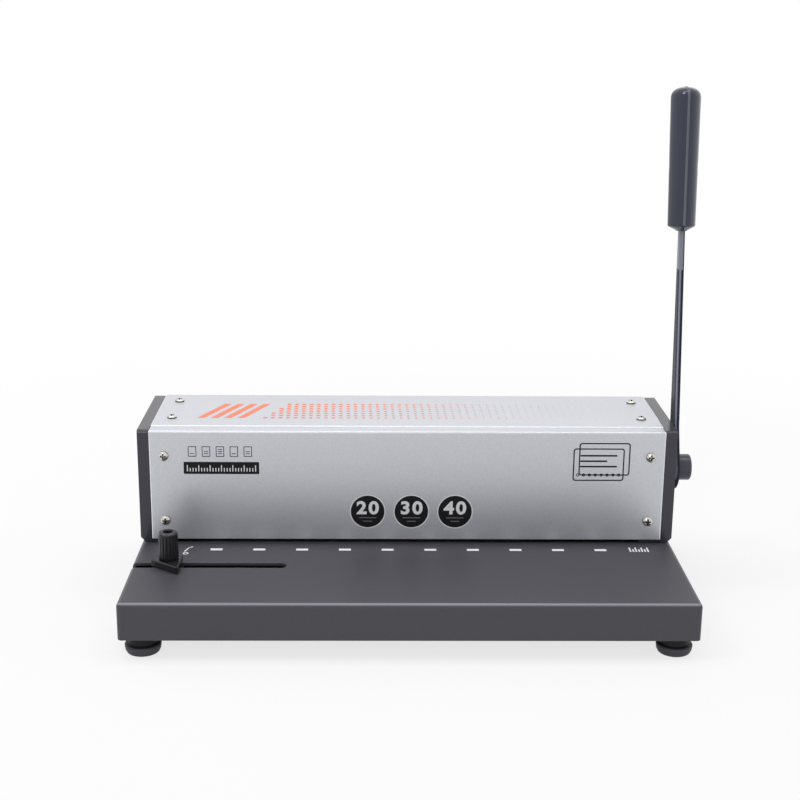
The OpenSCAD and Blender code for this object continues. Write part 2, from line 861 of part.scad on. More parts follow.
module pinion(side) {
    hub_end = gear_w / 2 + pinion_hub_l;
    teeth = [for (k = [0 : pinion_teeth - 1]) each tooth_points(full_turn * k / pinion_teeth)];
    color("#9aa0a6") in_frame() at_shaft() translate([row_shift + side * rack_x, 0, 0])
        mirror([side < 0 ? 1 : 0, 0, 0]) difference() {
            union() {
                along_x(-gear_w / 2) linear_extrude(gear_w) polygon(teeth);
                along_x(0) cylinder(d = pinion_hub_d, h = hub_end);
            }
            along_x(-gear_w / 2 - overcut)
                cylinder(d = shaft_d + 2 * seat_gap, h = gear_w / 2 + hub_end + 2 * overcut);
            translate([pin_out, 0, 0]) cylinder(d = pin_d, h = 2 * pinion_hub_d, center = true);
        }
}

module pinion_pins() {
    color("#8f9296") in_frame() at_shaft() at_pins()
        cylinder(d = pin_d - 2 * seat_gap, h = pinion_hub_d - 2 * pin_inset, center = true);
}

// Rack with a gap between teeth level with the shaft, where a pinion tooth enters
module rack(side) {
    below = floor((shaft_z - ram_z) / gear_pitch);
    above = floor((rack_top - shaft_z) / gear_pitch);
    slope = tan(pressure);
    root_half = tooth_t / 2 + rack_root_y * slope;
    tip_half = tooth_t / 2 - rack_tip_y * slope;
    root_y = rack_y - rack_root_y;
    tip_y = rack_y + rack_tip_y;
    teeth = [for (k = [-below : above - 1]) let (z = shaft_z + (k + 0.5) * gear_pitch)
        each [[root_y, z - root_half], [tip_y, z - tip_half],
              [tip_y, z + tip_half], [root_y, z + root_half]]];
    color("#9aa0a6") in_frame() difference() {
        from_side(row_shift + side * rack_x - gear_w / 2, gear_w)
            polygon(concat(
                [[ram_rear, ram_z], [root_y, ram_z]], teeth, [[root_y, rack_top], [ram_rear, rack_top]]));
        at_rack_screws() low_hole();
    }
}

module lever_washer() {
    color("#d8d6cf") in_frame() at_shaft() along_x(cap_x + slide_gap) difference() {
        cylinder(d = shaft_d + 2 * washer_wall, h = lever_gap - slide_gap);
        translate([0, 0, -overcut]) cylinder(d = shaft_d + 2 * seat_gap, h = lever_gap + 2 * overcut);
    }
}

// Stands the lever's own upright axis at its lean
module at_lever() {
    at_shaft() rotate([-lever_lean, 0, 0]) children();
}

// Eye, flare and bar of the lever, drawn upright with the shaft at the origin
module lever_outline() {
    tang_end = grip_start + tang_l;
    bar_half = (lever_w_low + (lever_w_high - lever_w_low) * lever_flare / grip_start) / 2;
    touch = asin(lever_eye_r / norm([bar_half, lever_flare])) - atan2(bar_half, lever_flare);
    touch_x = lever_eye_r * cos(touch);
    touch_z = lever_eye_r * sin(touch);
    circle(lever_eye_r);
    polygon([[-touch_x, touch_z], [touch_x, touch_z], [bar_half, lever_flare], [-bar_half, lever_flare]]);
    polygon([
        [-lever_w_low / 2, 0], [lever_w_low / 2, 0],
        [lever_w_high / 2, grip_start], [lever_w_high / 2, tang_end],
        [-lever_w_high / 2, tang_end], [-lever_w_high / 2, grip_start]
    ]);
}

module lever_arm() {
    color("#3c3d43") in_frame() difference() {
        at_lever() translate([lever_x, 0, 0]) rotate([90, 0, 90]) linear_extrude(lever_t) lever_outline();
        at_shaft() intersection() {
            along_x(lever_x - overcut) cylinder(d = shaft_d + 2 * seat_gap, h = lever_t + 2 * overcut);
            box([0, -shaft_flats / 2 - seat_gap, -shaft_d], [hub_x, shaft_flats / 2 + seat_gap, shaft_d]);
        }
    }
}

// One oval slice of the grip
module grip_slice(z, w, d) {
    translate([lever_x + lever_t / 2, 0, z])
        linear_extrude(grip_slice_h) scale([w, d]) circle(d = 1, $fn = 40);
}

module lever_grip() {
    spread = grip_depth / grip_w_low;
    dome_z = grip_end - grip_dome;
    crown_w = grip_w_high - 2 * grip_dome;
    color("#45474f") in_frame() at_lever() difference() {
        hull() {
            grip_slice(grip_start, lever_t + 2 * grip_collar, lever_w_high + 2 * grip_collar);
            grip_slice(grip_start + grip_cone, grip_w_low, grip_depth);
            for (k = [0 : grip_dome_steps]) let (
                a = full_turn / 4 * k / grip_dome_steps,
                w = crown_w + 2 * grip_dome * cos(a))
                grip_slice(dome_z + grip_dome * sin(a) - grip_slice_h, w, w * spread);
        }
        box([lever_x - seat_gap, -lever_w_high / 2 - seat_gap, grip_start - overcut],
            [lever_out + seat_gap, lever_w_high / 2 + seat_gap, grip_start + tang_l + seat_gap]);
    }
}

module hub_bolt() {
    color("#a9adb2") in_frame() at_shaft() {
        along_x(lever_out) cylinder(d = hub_bolt_head, h = hub_bolt_head_h, $fn = 6);
        along_x(lever_out - hub_bolt_l + overcut) cylinder(d = hub_bolt_d - 2 * thread_gap, h = hub_bolt_l);
        along_x(lever_out) cylinder(d = hub_washer_d, h = hub_washer_t);
    }
}

module hub_cap() {
    edge = hub_cap_edge;
    r = hub_cap_d / 2;
    color("#45474f") in_frame() at_shaft() along_x(lever_out) rotate_extrude() polygon([
        [r - hub_cap_wall, 0], [r, 0],
        [r, hub_cap_l - 2 * edge], [r - edge, hub_cap_l - edge / 2],
        [r - 3 * edge, hub_cap_l], [0, hub_cap_l],
        [0, hub_cap_l - hub_cap_wall], [r - hub_cap_wall, hub_cap_l - 2 * hub_cap_wall]
    ]);
}

// Room for a block of a given width, thickness and depth below a face
module pocket(w, t, deep) {
    cube([w + 2 * seat_gap, t + 2 * seat_gap, 2 * (deep + seat_gap)], center = true);
}

// Moving bar with a pocket for each punch and its head
module punch_bar() {
    color("#9b9ea3") in_frame() difference() {
        box([-ram_x, ram_front, ram_z], [ram_x, ram_rear, ram_top]);
        for (i = [0 : punch_count - 1]) translate([punch_x(i), punch_y, ram_top]) {
            pocket(punch_w, punch_t, ram_h + overcut);
            pocket(punch_head_w, punch_head_t, punch_head_h);
        }
        guide_holes(ram_z, ram_h, run_gap);
        at_retainer_screws() low_hole();
        at_rack_screws() {
            low_hole();
            head_hole();
        }
    }
}

module punch(i) {
    color("#d0d3d6") in_frame() translate([punch_x(i), punch_y, 0]) {
        box([-punch_w / 2, -punch_t / 2, tip_z], [punch_w / 2, punch_t / 2, ram_top]);
        box([-punch_head_w / 2, -punch_head_t / 2, ram_top - punch_head_h],
            [punch_head_w / 2, punch_head_t / 2, ram_top]);
    }
}

module punch_retainer() {
    color("#85888d") in_frame() difference() {
        box([-retainer_x, ram_front + retainer_side, ram_top],
            [retainer_x, ram_rear - retainer_side, retainer_top]);
        guide_holes(ram_top, retainer_t, slide_gap);
        at_retainer_screws() {
            low_hole();
            head_hole();
        }
    }
}

module ram_screws() {
    color("#a9adb2") in_frame() {
        at_rack_screws() low_screw();
        at_retainer_screws() low_screw();
    }
}

// Bolt of the paper stop, its head below the slide plate
module guide_bolt() {
    color("#a9adb2") in_frame() translate([bolt_x, slot_y, 0]) {
        translate([0, 0, slide_z - bolt_head_h]) cylinder(d = bolt_head_d, h = bolt_head_h);
        translate([0, 0, slide_z - bolt_shoulder])
            cylinder(d = stop_bolt_d, h = knob_z + knob_h - bolt_recess - slide_z);
    }
}

module slide_plate() {
    plate_l = slot_w + 2 * slide_overlap;
    color("#8f9296") in_frame() translate([bolt_x, slot_y, slide_z]) difference() {
        box([-plate_l / 2, -plate_l / 2, 0], [plate_l / 2, plate_l / 2, slide_t]);
        translate([0, 0, -overcut]) cylinder(d = stop_bolt_d + 2 * seat_gap, h = slide_t + 2 * overcut);
    }
}

// Lozenge paper stop: its right side lies square to the throat
module stop_block() {
    color("#3a3a3e") in_frame() translate([bolt_x, slot_y, stop_z]) difference() {
        hull()
            for (p = stop_corners) translate(p) cylinder(r = stop_corner_r, h = stop_t, $fn = 32);
        translate([0, 0, -overcut]) cylinder(d = stop_bolt_d + 2 * run_gap, h = stop_t + 2 * overcut);
    }
}

module guide_knob() {
    bore_r = stop_bolt_d / 2 + run_gap;
    wall = knob_d / 2 - bore_r;
    color("#2e2e31") in_frame() translate([bolt_x, slot_y, knob_z]) difference() {
        rotate_extrude() union() {
            translate([bore_r, 0]) square([wall, knob_h - knob_rim]);
            translate([bore_r, 0]) square([wall - knob_rim, knob_h]);
            translate([knob_d / 2 - knob_rim, knob_h - knob_rim]) circle(knob_rim);
        }
        for (k = [0 : knob_flutes - 1])
            rotate(full_turn * k / knob_flutes) translate([knob_d / 2 + flute_out, 0, -overcut])
                cylinder(d = flute_d, h = knob_h - knob_rim - flute_top + overcut);
    }
}

// Tray for the chips, drawn out of the left side by a finger hole in its end plate
module chip_drawer() {
    left = -base_w / 2;
    high = drawer_z + drawer_h;
    color("#55545a") in_frame() difference() {
        union() {
            box([left, drawer_y, drawer_z], [drawer_end, drawer_rear, high]);
            box([left, drawer_y, drawer_z], [left + 2 * drawer_wall, drawer_rear, drawer_z + drawer_front_h]);
        }
        box([left + 2 * drawer_wall, drawer_y + drawer_wall, drawer_z + drawer_wall],
            [drawer_end - drawer_wall, drawer_rear - drawer_wall, high + overcut]);
        translate([left - overcut, (drawer_y + drawer_rear) / 2, drawer_z + drawer_front_h / 2])
            rotate([0, 90, 0]) cylinder(d = finger_d, h = 2 * drawer_wall + 2 * overcut);
    }
}

// Rails on the bottom plate, one on each side of the drawer
module drawer_runners() {
    x0 = side_cut + sheet_gap - base_w / 2;
    color("#8f9296") in_frame() {
        box([x0, drawer_y - slide_gap - runner_t, floor_z],
            [drawer_end, drawer_y - slide_gap, floor_z + runner_h]);
        box([x0, drawer_rear + slide_gap, floor_z],
            [drawer_end, drawer_rear + slide_gap + runner_t, floor_z + runner_h]);
    }
}

base_shell();
bottom_plate();
corner_posts();
foot(-1, -1);  // foot_front_left
foot(1, -1);  // foot_front_right
foot(-1, 1);  // foot_rear_left
foot(1, 1);  // foot_rear_right
foot_screws();
side_frame(-1);  // left_side_frame
side_frame(1);  // right_side_frame
tie_bar();
tie_screws();
cover();
cover_screws();
rear_panel();
rear_panel_screws();
end_cap(-1);  // left_end_cap
end_cap(1);  // right_end_cap
end_cap_screws();
die_plate();
back_stop();
stripper_plate();
die_bolts();
guide_post(-1);  // left_guide_post
guide_post(1);  // right_guide_post
return_spring(-1);  // left_return_spring
return_spring(1);  // right_return_spring
bush(-1);  // left_bush
bush(1);  // right_bush
main_shaft();
shaft_rings();
pinion(-1);  // left_pinion
pinion(1);  // right_pinion
pinion_pins();
lever_washer();
lever_arm();
lever_grip();
hub_bolt();
hub_cap();
punch_bar();
punch(0);  // punch_1
punch(1);  // punch_2
punch(2);  // punch_3
punch(3);  // punch_4
punch(4);  // punch_5
punch(5);  // punch_6
punch(6);  // punch_7
punch(7);  // punch_8
punch(8);  // punch_9
punch(9);  // punch_10
punch_retainer();
rack(-1);  // left_rack
rack(1);  // right_rack
ram_screws();
guide_bolt();
slide_plate();
stop_block();
guide_knob();
chip_drawer();
drawer_runners();
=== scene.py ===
import json
import math

import bmesh
import bpy
from mathutils import Matrix, Vector

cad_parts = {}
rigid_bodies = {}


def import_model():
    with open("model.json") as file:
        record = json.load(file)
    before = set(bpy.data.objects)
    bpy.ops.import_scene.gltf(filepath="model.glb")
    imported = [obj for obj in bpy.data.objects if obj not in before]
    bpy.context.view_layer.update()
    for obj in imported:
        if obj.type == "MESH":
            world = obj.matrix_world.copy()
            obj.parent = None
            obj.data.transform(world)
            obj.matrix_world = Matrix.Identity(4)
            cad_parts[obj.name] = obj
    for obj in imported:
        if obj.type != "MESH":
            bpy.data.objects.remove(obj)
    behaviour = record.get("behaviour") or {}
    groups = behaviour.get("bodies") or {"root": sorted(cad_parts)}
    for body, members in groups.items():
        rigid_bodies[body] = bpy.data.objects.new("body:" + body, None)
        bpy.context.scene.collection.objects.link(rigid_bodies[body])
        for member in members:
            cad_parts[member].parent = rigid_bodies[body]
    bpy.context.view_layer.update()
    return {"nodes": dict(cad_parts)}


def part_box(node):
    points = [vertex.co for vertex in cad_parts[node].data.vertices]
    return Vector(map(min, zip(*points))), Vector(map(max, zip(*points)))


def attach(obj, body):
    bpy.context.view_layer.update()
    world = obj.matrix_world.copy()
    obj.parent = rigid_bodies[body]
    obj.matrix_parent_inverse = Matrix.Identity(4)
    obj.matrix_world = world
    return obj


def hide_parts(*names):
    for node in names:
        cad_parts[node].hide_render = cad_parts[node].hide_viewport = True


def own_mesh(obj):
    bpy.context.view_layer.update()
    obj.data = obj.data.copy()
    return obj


for leftover in list(bpy.data.objects):
    bpy.data.objects.remove(leftover)
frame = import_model()
nodes = frame["nodes"]

# Lengths are in millimetres in the frame of the solids, apart from the stage and the lamps
MM = 0.001


def box_mm(name):
    low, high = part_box(name)
    return Vector(low) / MM, Vector(high) / MM


cover_low, cover_high = box_mm("cover")
arm_low, arm_high = box_mm("lever_arm")
hub_low, hub_high = box_mm("hub_cap")
knob_low, knob_high = box_mm("guide_knob")
MID_X = (cover_low.x + cover_high.x) / 2
FRONT_Y = cover_low.y
TOP_Z = cover_high.z
TABLE_Z = box_mm("base_shell")[1].z
SHAFT_Y = (hub_low.y + hub_high.y) / 2
SHAFT_Z = (hub_low.z + hub_high.z) / 2
LEVER_X = (arm_low.x + arm_high.x) / 2


# Materials

def node(tree, kind, inputs=None, **settings):
    made = tree.nodes.new(kind)
    for key, value in settings.items():
        setattr(made, key, value)
    for key, value in (inputs or {}).items():
        if isinstance(value, bpy.types.NodeSocket):
            tree.links.new(value, made.inputs[key])
        else:
            made.inputs[key].default_value = value
    return made


def ramp(tree, value, begin, end, low=0.0, high=1.0):
    """A number that goes from low to high while the value goes from begin to end."""
    made = node(tree, "ShaderNodeMapRange", {"Value": value, "From Min": begin, "From Max": end,
                                             "To Min": low, "To Max": high})
    return made.outputs[0]


def product(tree, one, other):
    made = node(tree, "ShaderNodeMath", {0: one, 1: other}, operation="MULTIPLY")
    return made.outputs[0]


def scaled(tree, colour, gain):
    made = node(tree, "ShaderNodeVectorMath", {0: colour, "Scale": gain}, operation="SCALE")
    return made.outputs["Vector"]


def facing(tree, normal, way):
    made = node(tree, "ShaderNodeVectorMath", {0: normal, 1: way}, operation="DOT_PRODUCT")
    return made.outputs["Value"]


def rgba(colour, factor=1.0):
    return tuple(channel * factor for channel in colour) + (1.0,)


# Painted highlight along bends: where a bend begins, is full, ends and begins to end, as the share of
# the surface's normal along X or Z, or along the highlight side for Y
BENDS = {"X": (0.12, 0.35, 0.99, 0.95), "Y": (0.90, 0.97, 1.2, 1.1), "Z": (0.55, 0.75, 0.995, 0.95)}
# The painted highlight on upper bends is full where they face the user, and this share of it elsewhere
USER_SIDE = (-0.05, -0.4)
ELSEWHERE = 0.2
# Way that the painted highlight along the lever's front edge faces
HIGHLIGHT_SIDE = (-0.42, -0.90, 0.11)
# Way that the paler stretch under the lever's grip faces, where it begins, and how softly
PALE_SIDE = (-0.83, -0.55, 0.0)
PALE_FACING = (0.0, 0.4)
PALE_Z = SHAFT_Z + 143.4
PALE_EDGE = 0.6
# Openness at which the painted shade in recesses is deepest and gone, and what it leaves of the colour
RECESS_SHADE_OPEN = (0.5, 0.92)
RECESS_SHADE_LEAVES = 0.03
SHADE_EDGE = 0.4
FLAKE_SIZE = 0.28
# Noise levels between which the tone and the gloss change
TONE_SPAN = (0.32, 0.68)
GLOSS_SPAN = (0.3, 0.7)


def painted_bend_highlight(tree, colour_out, rub, axis):
    """Painted highlight: paint made paler where light catches its bends, at both ends for X, on the
    highlight side for Y, on the upper bends for Z.
    """
    lie = node(tree, "ShaderNodeTexCoord").outputs["Normal"]
    lean = node(tree, "ShaderNodeSeparateXYZ", {"Vector": lie})
    most = rub
    if axis == "X":
        along = node(tree, "ShaderNodeMath", {0: lean.outputs["X"]}, operation="ABSOLUTE").outputs[0]
    elif axis == "Y":
        along = facing(tree, lie, HIGHLIGHT_SIDE)
    else:
        along = lean.outputs["Z"]
        most = ramp(tree, lean.outputs["Y"], *USER_SIDE, 1 + (rub - 1) * ELSEWHERE, rub)
    begin, full, end, ending = BENDS[axis]
    bend = product(tree, ramp(tree, along, begin, full), ramp(tree, along, end, ending))
    return scaled(tree, colour_out, ramp(tree, bend, 0.0, 1.0, 1.0, most))


def painted_recess_shade(tree, colour_out, reach):
    """Painted shade: metal darkened in its recesses and corners, where little light reaches."""
    open_sky = node(tree, "ShaderNodeAmbientOcclusion", {"Distance": reach * MM}, samples=8)
    clean = ramp(tree, open_sky.outputs["AO"], *RECESS_SHADE_OPEN, RECESS_SHADE_LEAVES, 1.0)
    return scaled(tree, colour_out, clean)


def above(tree, spot, height, edge, low=0.0, high=1.0):
    """A number that goes from low to high at a height above the floor."""
    up = node(tree, "ShaderNodeSeparateXYZ", {"Vector": spot})
    return ramp(tree, up.outputs["Z"], (height - edge) * MM, (height + edge) * MM, low, high)


def shaded_above(tree, colour_out, spot, height, factor):
    """Painted shade: a colour that turns darker over a height above the floor."""
    return scaled(tree, colour_out, above(tree, spot, height, SHADE_EDGE, 1.0, factor))


def paler_above(tree, colour_out, height, paler_colour):
    """A paler colour on the lever's left and front over a height."""
    lie = node(tree, "ShaderNodeTexCoord")
    over = above(tree, lie.outputs["Object"], height, PALE_EDGE)
    seen = ramp(tree, facing(tree, lie.outputs["Normal"], PALE_SIDE), *PALE_FACING)
    made = node(tree, "ShaderNodeMix", {0: product(tree, over, seen), 6: colour_out, 7: rgba(paler_colour)},
                data_type="RGBA")
    return made.outputs[2]


def sparkling(tree, colour_out, spot, flake):
    """Metallic paint whose flakes are each a little lighter or darker."""
    cells = node(tree, "ShaderNodeTexVoronoi", {"Vector": spot, "Scale": 1 / (FLAKE_SIZE * MM)})
    shine = node(tree, "ShaderNodeSeparateColor", {"Color": cells.outputs["Color"]})
    return scaled(tree, colour_out, ramp(tree, shine.outputs[0], 0.0, 1.0, 1 - flake, 1 + flake))


def finish(name, colour, rough, grain=0.5, patch=40.0, shade=0.85, speck=0.5, bump=0.0,
           metallic=0.0, stretch=(1.0, 1.0, 1.0), flake=0.0, rub=0.0, rub_axis="Z", grime=0.0,
           dark_above=None, bare_above=None, **shader):
    """A paint, plastic or metal with grain, broad patches, uneven gloss and a slight relief."""
    made = bpy.data.materials.new("finish_" + name)
    made.use_nodes = True
    tree = made.node_tree
    surface = tree.nodes["Principled BSDF"]
    coord = node(tree, "ShaderNodeTexCoord")
    place = node(tree, "ShaderNodeMapping", {"Vector": coord.outputs["Object"], "Scale": stretch})
    spot = place.outputs["Vector"]
    fine = node(tree, "ShaderNodeTexNoise", {"Vector": spot, "Scale": 1 / (grain * MM), "Detail": 2.0})
    broad = node(tree, "ShaderNodeTexNoise", {"Vector": spot, "Scale": 1 / (patch * MM), "Detail": 4.0})
    tone = node(tree, "ShaderNodeMix", {0: speck, 2: broad.outputs[0], 3: fine.outputs[0]},
                data_type="FLOAT").outputs[0]
    paint = node(tree, "ShaderNodeMix", {0: ramp(tree, tone, *TONE_SPAN), 6: rgba(colour, shade),
                                         7: rgba(colour)}, data_type="RGBA")
    colour_out = paint.outputs[2]
    if flake:
        colour_out = sparkling(tree, colour_out, spot, flake)
    if rub:
        colour_out = painted_bend_highlight(tree, colour_out, rub, rub_axis)
    if grime:
        colour_out = painted_recess_shade(tree, colour_out, grime)
    if dark_above:
        colour_out = shaded_above(tree, colour_out, spot, *dark_above)
    if bare_above:
        colour_out = paler_above(tree, colour_out, *bare_above)
    tree.links.new(colour_out, surface.inputs["Base Color"])
    tree.links.new(ramp(tree, tone, *GLOSS_SPAN, *rough), surface.inputs["Roughness"])
    if bump:
        relief = node(tree, "ShaderNodeBump", {"Height": fine.outputs[0], "Distance": bump * MM,
                                               "Strength": 1.0})
        tree.links.new(relief.outputs[0], surface.inputs["Normal"])
    surface.inputs["Metallic"].default_value = metallic
    for key, value in shader.items():
        surface.inputs[key].default_value = value
    return made


FINISHES = {
    # The base's paint is paler along its upper bends, most at the front: a painted highlight along its
    # rounded top edge
    "base_paint": dict(colour=(0.059, 0.056, 0.069), rough=(0.46, 0.60), grain=0.7, shade=0.8,
                       speck=0.6, bump=0.05, rub=5.2),
    # The cover's paint is paler round its rounded ends: a painted highlight along those edges
    "cover_paint": dict(colour=(0.598, 0.612, 0.655), rough=(0.34, 0.42), patch=70, shade=0.95,
                        bump=0.012, metallic=0.76, flake=0.10, rub=1.65, rub_axis="X"),
    "cap_plastic": {"colour": (0.036, 0.035, 0.049), "rough": (0.13, 0.21), "grain": 0.45,
                    "bump": 0.012, "Specular Tint": (0.97, 0.95, 1.0, 1.0)},
    "grip_plastic": {"colour": (0.031, 0.034, 0.052), "rough": (0.10, 0.16), "grain": 0.6,
                     "bump": 0.008, "Specular Tint": (0.80, 0.84, 1.0, 1.0)},
    # The parting ridge's colour, much paler than the grip's plastic: a painted highlight along the
    # ridge
    "seam_highlight": dict(colour=(0.115, 0.12, 0.145), rough=(0.20, 0.30), patch=12, shade=0.8, bump=0.01),
    "hub_plastic": {"colour": (0.054, 0.055, 0.074), "rough": (0.22, 0.32), "patch": 8, "bump": 0.01,
                    "Specular Tint": (0.86, 0.88, 1.0, 1.0)},
    # The knob's and the stop's plastic is paler along their upper bends: a painted highlight
    "knob_plastic": {"colour": (0.016, 0.015, 0.018), "rough": (0.22, 0.32), "shade": 0.75,
                     "bump": 0.015, "rub": 5.0, "Specular IOR Level": 0.42},
    # The feet's rubber turns darker above its rim: painted shade under the base
    "rubber": {"colour": (0.076, 0.073, 0.086), "rough": (0.45, 0.6), "shade": 0.8, "bump": 0.03,
               "dark_above": (6.0, 0.16), "Specular IOR Level": 0.2},
    # The lever's paint is paler along the left of its front edge: a painted highlight of the light from
    # the left
    "lever_paint": {"colour": (0.030, 0.031, 0.041), "rough": (0.28, 0.38), "grain": 0.6,
                    "shade": 0.8, "bump": 0.01, "rub": 10.0, "rub_axis": "Y",
                    # A paler colour on the lever's left and front from just under the grip
                    "bare_above": (PALE_Z, (0.25, 0.26, 0.31)), "Specular IOR Level": 0.04},
    "drawer_paint": dict(colour=(0.056, 0.053, 0.064), rough=(0.38, 0.52), grain=0.7, shade=0.8,
                         speck=0.6, bump=0.05),
    # The nickel gets painted shade, near black in the screws' cross recesses and dark where their heads
    # meet the sheet
    "nickel": dict(colour=(0.66, 0.635, 0.58), rough=(0.14, 0.26), grain=0.6, patch=6, bump=0.006,
                   metallic=1.0, grime=2.0),
    "bronze": dict(colour=(0.50, 0.33, 0.14), rough=(0.38, 0.52), grain=0.25, patch=8, shade=0.7,
                   bump=0.01, metallic=1.0),
    "nylon": dict(colour=(0.72, 0.71, 0.66), rough=(0.42, 0.52), grain=0.6, shade=0.94, bump=0.008),
    # Steel darker than ground tool steel: painted shade for the throat under the cover, where the
    # stripper and die show
    "tool_steel": dict(colour=(0.22, 0.224, 0.235), rough=(0.32, 0.46), grain=0.3, patch=14,
                       shade=0.82, bump=0.006, metallic=1.0, stretch=(0.05, 1.0, 1.0)),
    "steel": dict(colour=(0.56, 0.57, 0.59), rough=(0.28, 0.42), grain=0.4, patch=10, shade=0.84,
                  bump=0.006, metallic=1.0),
    "black_steel": dict(colour=(0.035, 0.034, 0.038), rough=(0.45, 0.6), grain=0.4, patch=12,
                        shade=0.75, bump=0.01, metallic=0.6),
    "white_ink": dict(colour=(0.99, 0.99, 0.985), rough=(0.45, 0.55), grain=0.3, patch=5, shade=0.92),
    "black_ink": {"colour": (0.008, 0.008, 0.010), "rough": (0.40, 0.52), "grain": 0.3, "patch": 6,
                  "shade": 0.75, "Specular IOR Level": 0.2},
    "silver_ink": dict(colour=(0.92, 0.93, 0.95), rough=(0.38, 0.48), grain=0.3, patch=6, shade=0.9),
    "grey_ink": dict(colour=(0.16, 0.16, 0.17), rough=(0.38, 0.48), grain=0.3, patch=6),
    "orange_ink": dict(colour=(0.92, 0.23, 0.105), rough=(0.42, 0.52), grain=0.3, patch=9, shade=0.93),
}
FINISH = {name: finish(name, **settings) for name, settings in FINISHES.items()}

for part in nodes.values():
    part.material_slots[0].material = FINISH[part.material_slots[0].material.name]
# The side frames get a near-black steel in place of their steel slot: painted shade for where they show
# in the gap under the cover
for name in ("left_side_frame", "right_side_frame"):
    nodes[name].material_slots[0].material = FINISH["black_steel"]


# Mesh helpers

# Points closer than this, in metres, are one
WELD_M = 1e-7


def skin(name, verts, faces, mat, sharp):
    """An object from points in millimetres, welded, with edges over an angle left sharp."""
    mesh = bpy.data.meshes.new(name)
    work = bmesh.new()
    points = [work.verts.new(Vector(p) * MM) for p in verts]
    for face in faces:
        work.faces.new([points[i] for i in face])
    bmesh.ops.remove_doubles(work, verts=work.verts, dist=WELD_M)
    bmesh.ops.recalc_face_normals(work, faces=work.faces)
    work.to_mesh(mesh)
    work.free()
    mesh.shade_smooth()
    mesh.set_sharp_from_angle(angle=math.radians(sharp))
    mesh.materials.append(mat)
    made = bpy.data.objects.new(name, mesh)
    bpy.context.scene.collection.objects.link(made)
    return made


def piece(made, body, slot, *replaced):
    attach(made, body)
    if replaced:
        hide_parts(*replaced)
    return made


def loft(rings, loop=False):
    """A closed skin through rings of the same count; a loop joins the last to the first."""
    count = len(rings[0])
    verts = [p for ring in rings for p in ring]
    faces = []
    for i in range(len(rings) if loop else len(rings) - 1):
        a = i * count
        b = (i + 1) % len(rings) * count
        for j in range(count):
            k = (j + 1) % count
            faces.append((a + j, a + k, b + k, b + j))
    if not loop:
        faces.append(tuple(reversed(range(count))))
        faces.append(tuple(range(len(verts) - count, len(verts))))
    return verts, faces


# A turn nearer to straight than this, in degrees, gets no arc
STRAIGHT = 179
# An arc takes up at most this share of the sides that it joins
ARC_SHARE = 0.49


def rounded(points, radii, step=12.0):
    """A closed outline with its corners turned into arcs of the given radii."""
    made = []
    for i, corner in enumerate(points):
        p = Vector(corner)
        back = Vector(points[i - 1]) - p
        ahead = Vector(points[(i + 1) % len(points)]) - p
        radius = radii[i] if isinstance(radii, (list, tuple)) else radii
        turn = back.angle(ahead)
        if radius <= 0 or turn > math.radians(STRAIGHT):
            made.append(tuple(p))
            continue
        reach = min(radius / math.tan(turn / 2), ARC_SHARE * back.length, ARC_SHARE * ahead.length)
        radius = reach * math.tan(turn / 2)
        start = p + back.normalized() * reach
        end = p + ahead.normalized() * reach
        inward = (back.normalized() + ahead.normalized()).normalized()
        middle = p + inward * radius / math.sin(turn / 2)
        bend = math.pi - turn
        steps = max(2, math.ceil(math.degrees(bend) / step))
        for k in range(steps + 1):
            share = k / steps
            a = ((start - middle) * math.sin((1 - share) * bend)
                 + (end - middle) * math.sin(share * bend))
            made.append(tuple(middle + a / math.sin(bend)))
    return made


def lathe(profile, turns, place):
    """Turns a closed profile of radius and height about the local Z axis of a placing matrix."""
    rings = []
    for radius, height in profile:
        ring = []
        for k in range(turns):
            a = 2 * math.pi * k / turns
            ring.append(place @ Vector((radius * math.cos(a), radius * math.sin(a), height)))
        rings.append(ring)
    return loft(rings, True)


def axes(x, y, z, origin):
    """A matrix that takes local axes to the given directions at an origin."""
    made = Matrix((x, y, z)).transposed().to_4x4()
    made.translation = Vector(origin)
    return made


# Modifiers of a solid that stays in view: points that are one, faces that are flat to within
# an angle, and the angle from which an edge is rounded, in millimetres and degrees
SOLID_WELD = 0.002
FLAT_WITHIN = 0.4
ROUND_FROM = 32.0


def soften(name, width, segments=2):
    """Rounds the edges of a solid that stays in view, by modifiers alone."""
    part = nodes[name]
    weld = part.modifiers.new("weld", "WELD")
    weld.merge_threshold = SOLID_WELD * MM
    flat = part.modifiers.new("flat", "DECIMATE")
    flat.decimate_type = "DISSOLVE"
    flat.angle_limit = math.radians(FLAT_WITHIN)
    edge = part.modifiers.new("edges", "BEVEL")
    edge.width = width * MM
    edge.segments = segments
    edge.limit_method = "ANGLE"
    edge.angle_limit = math.radians(ROUND_FROM)
    normals = part.modifiers.new("normals", "WEIGHTED_NORMAL")
    normals.keep_sharp = True
    return edge


# Housing cover, a bent sheet with a lower flat along its front edge

SHEET = 1.2
REAR_LIP = 15.0
BAND = 11.7
BAND_STEP = 0.7
HALF_STEP_TURN = math.radians(22.5)
BEND_R = 1.6
STEP_R = 1.0
BEND_ARC = 6
END_R = 0.9
END_STEPS = 6


def sheet_side(inset):
    """One face of the sheet from the front's foot over the step to the rear lip."""
    front, back = cover_low.y + inset, cover_high.y - inset
    step_y = cover_low.y + BAND + math.tan(HALF_STEP_TURN) * inset
    top = cover_high.z - inset
    return [(front, cover_low.z), (front, top - BAND_STEP), (step_y - BAND_STEP, top - BAND_STEP),
            (step_y, top), (back, top), (back, cover_high.z - REAR_LIP)]


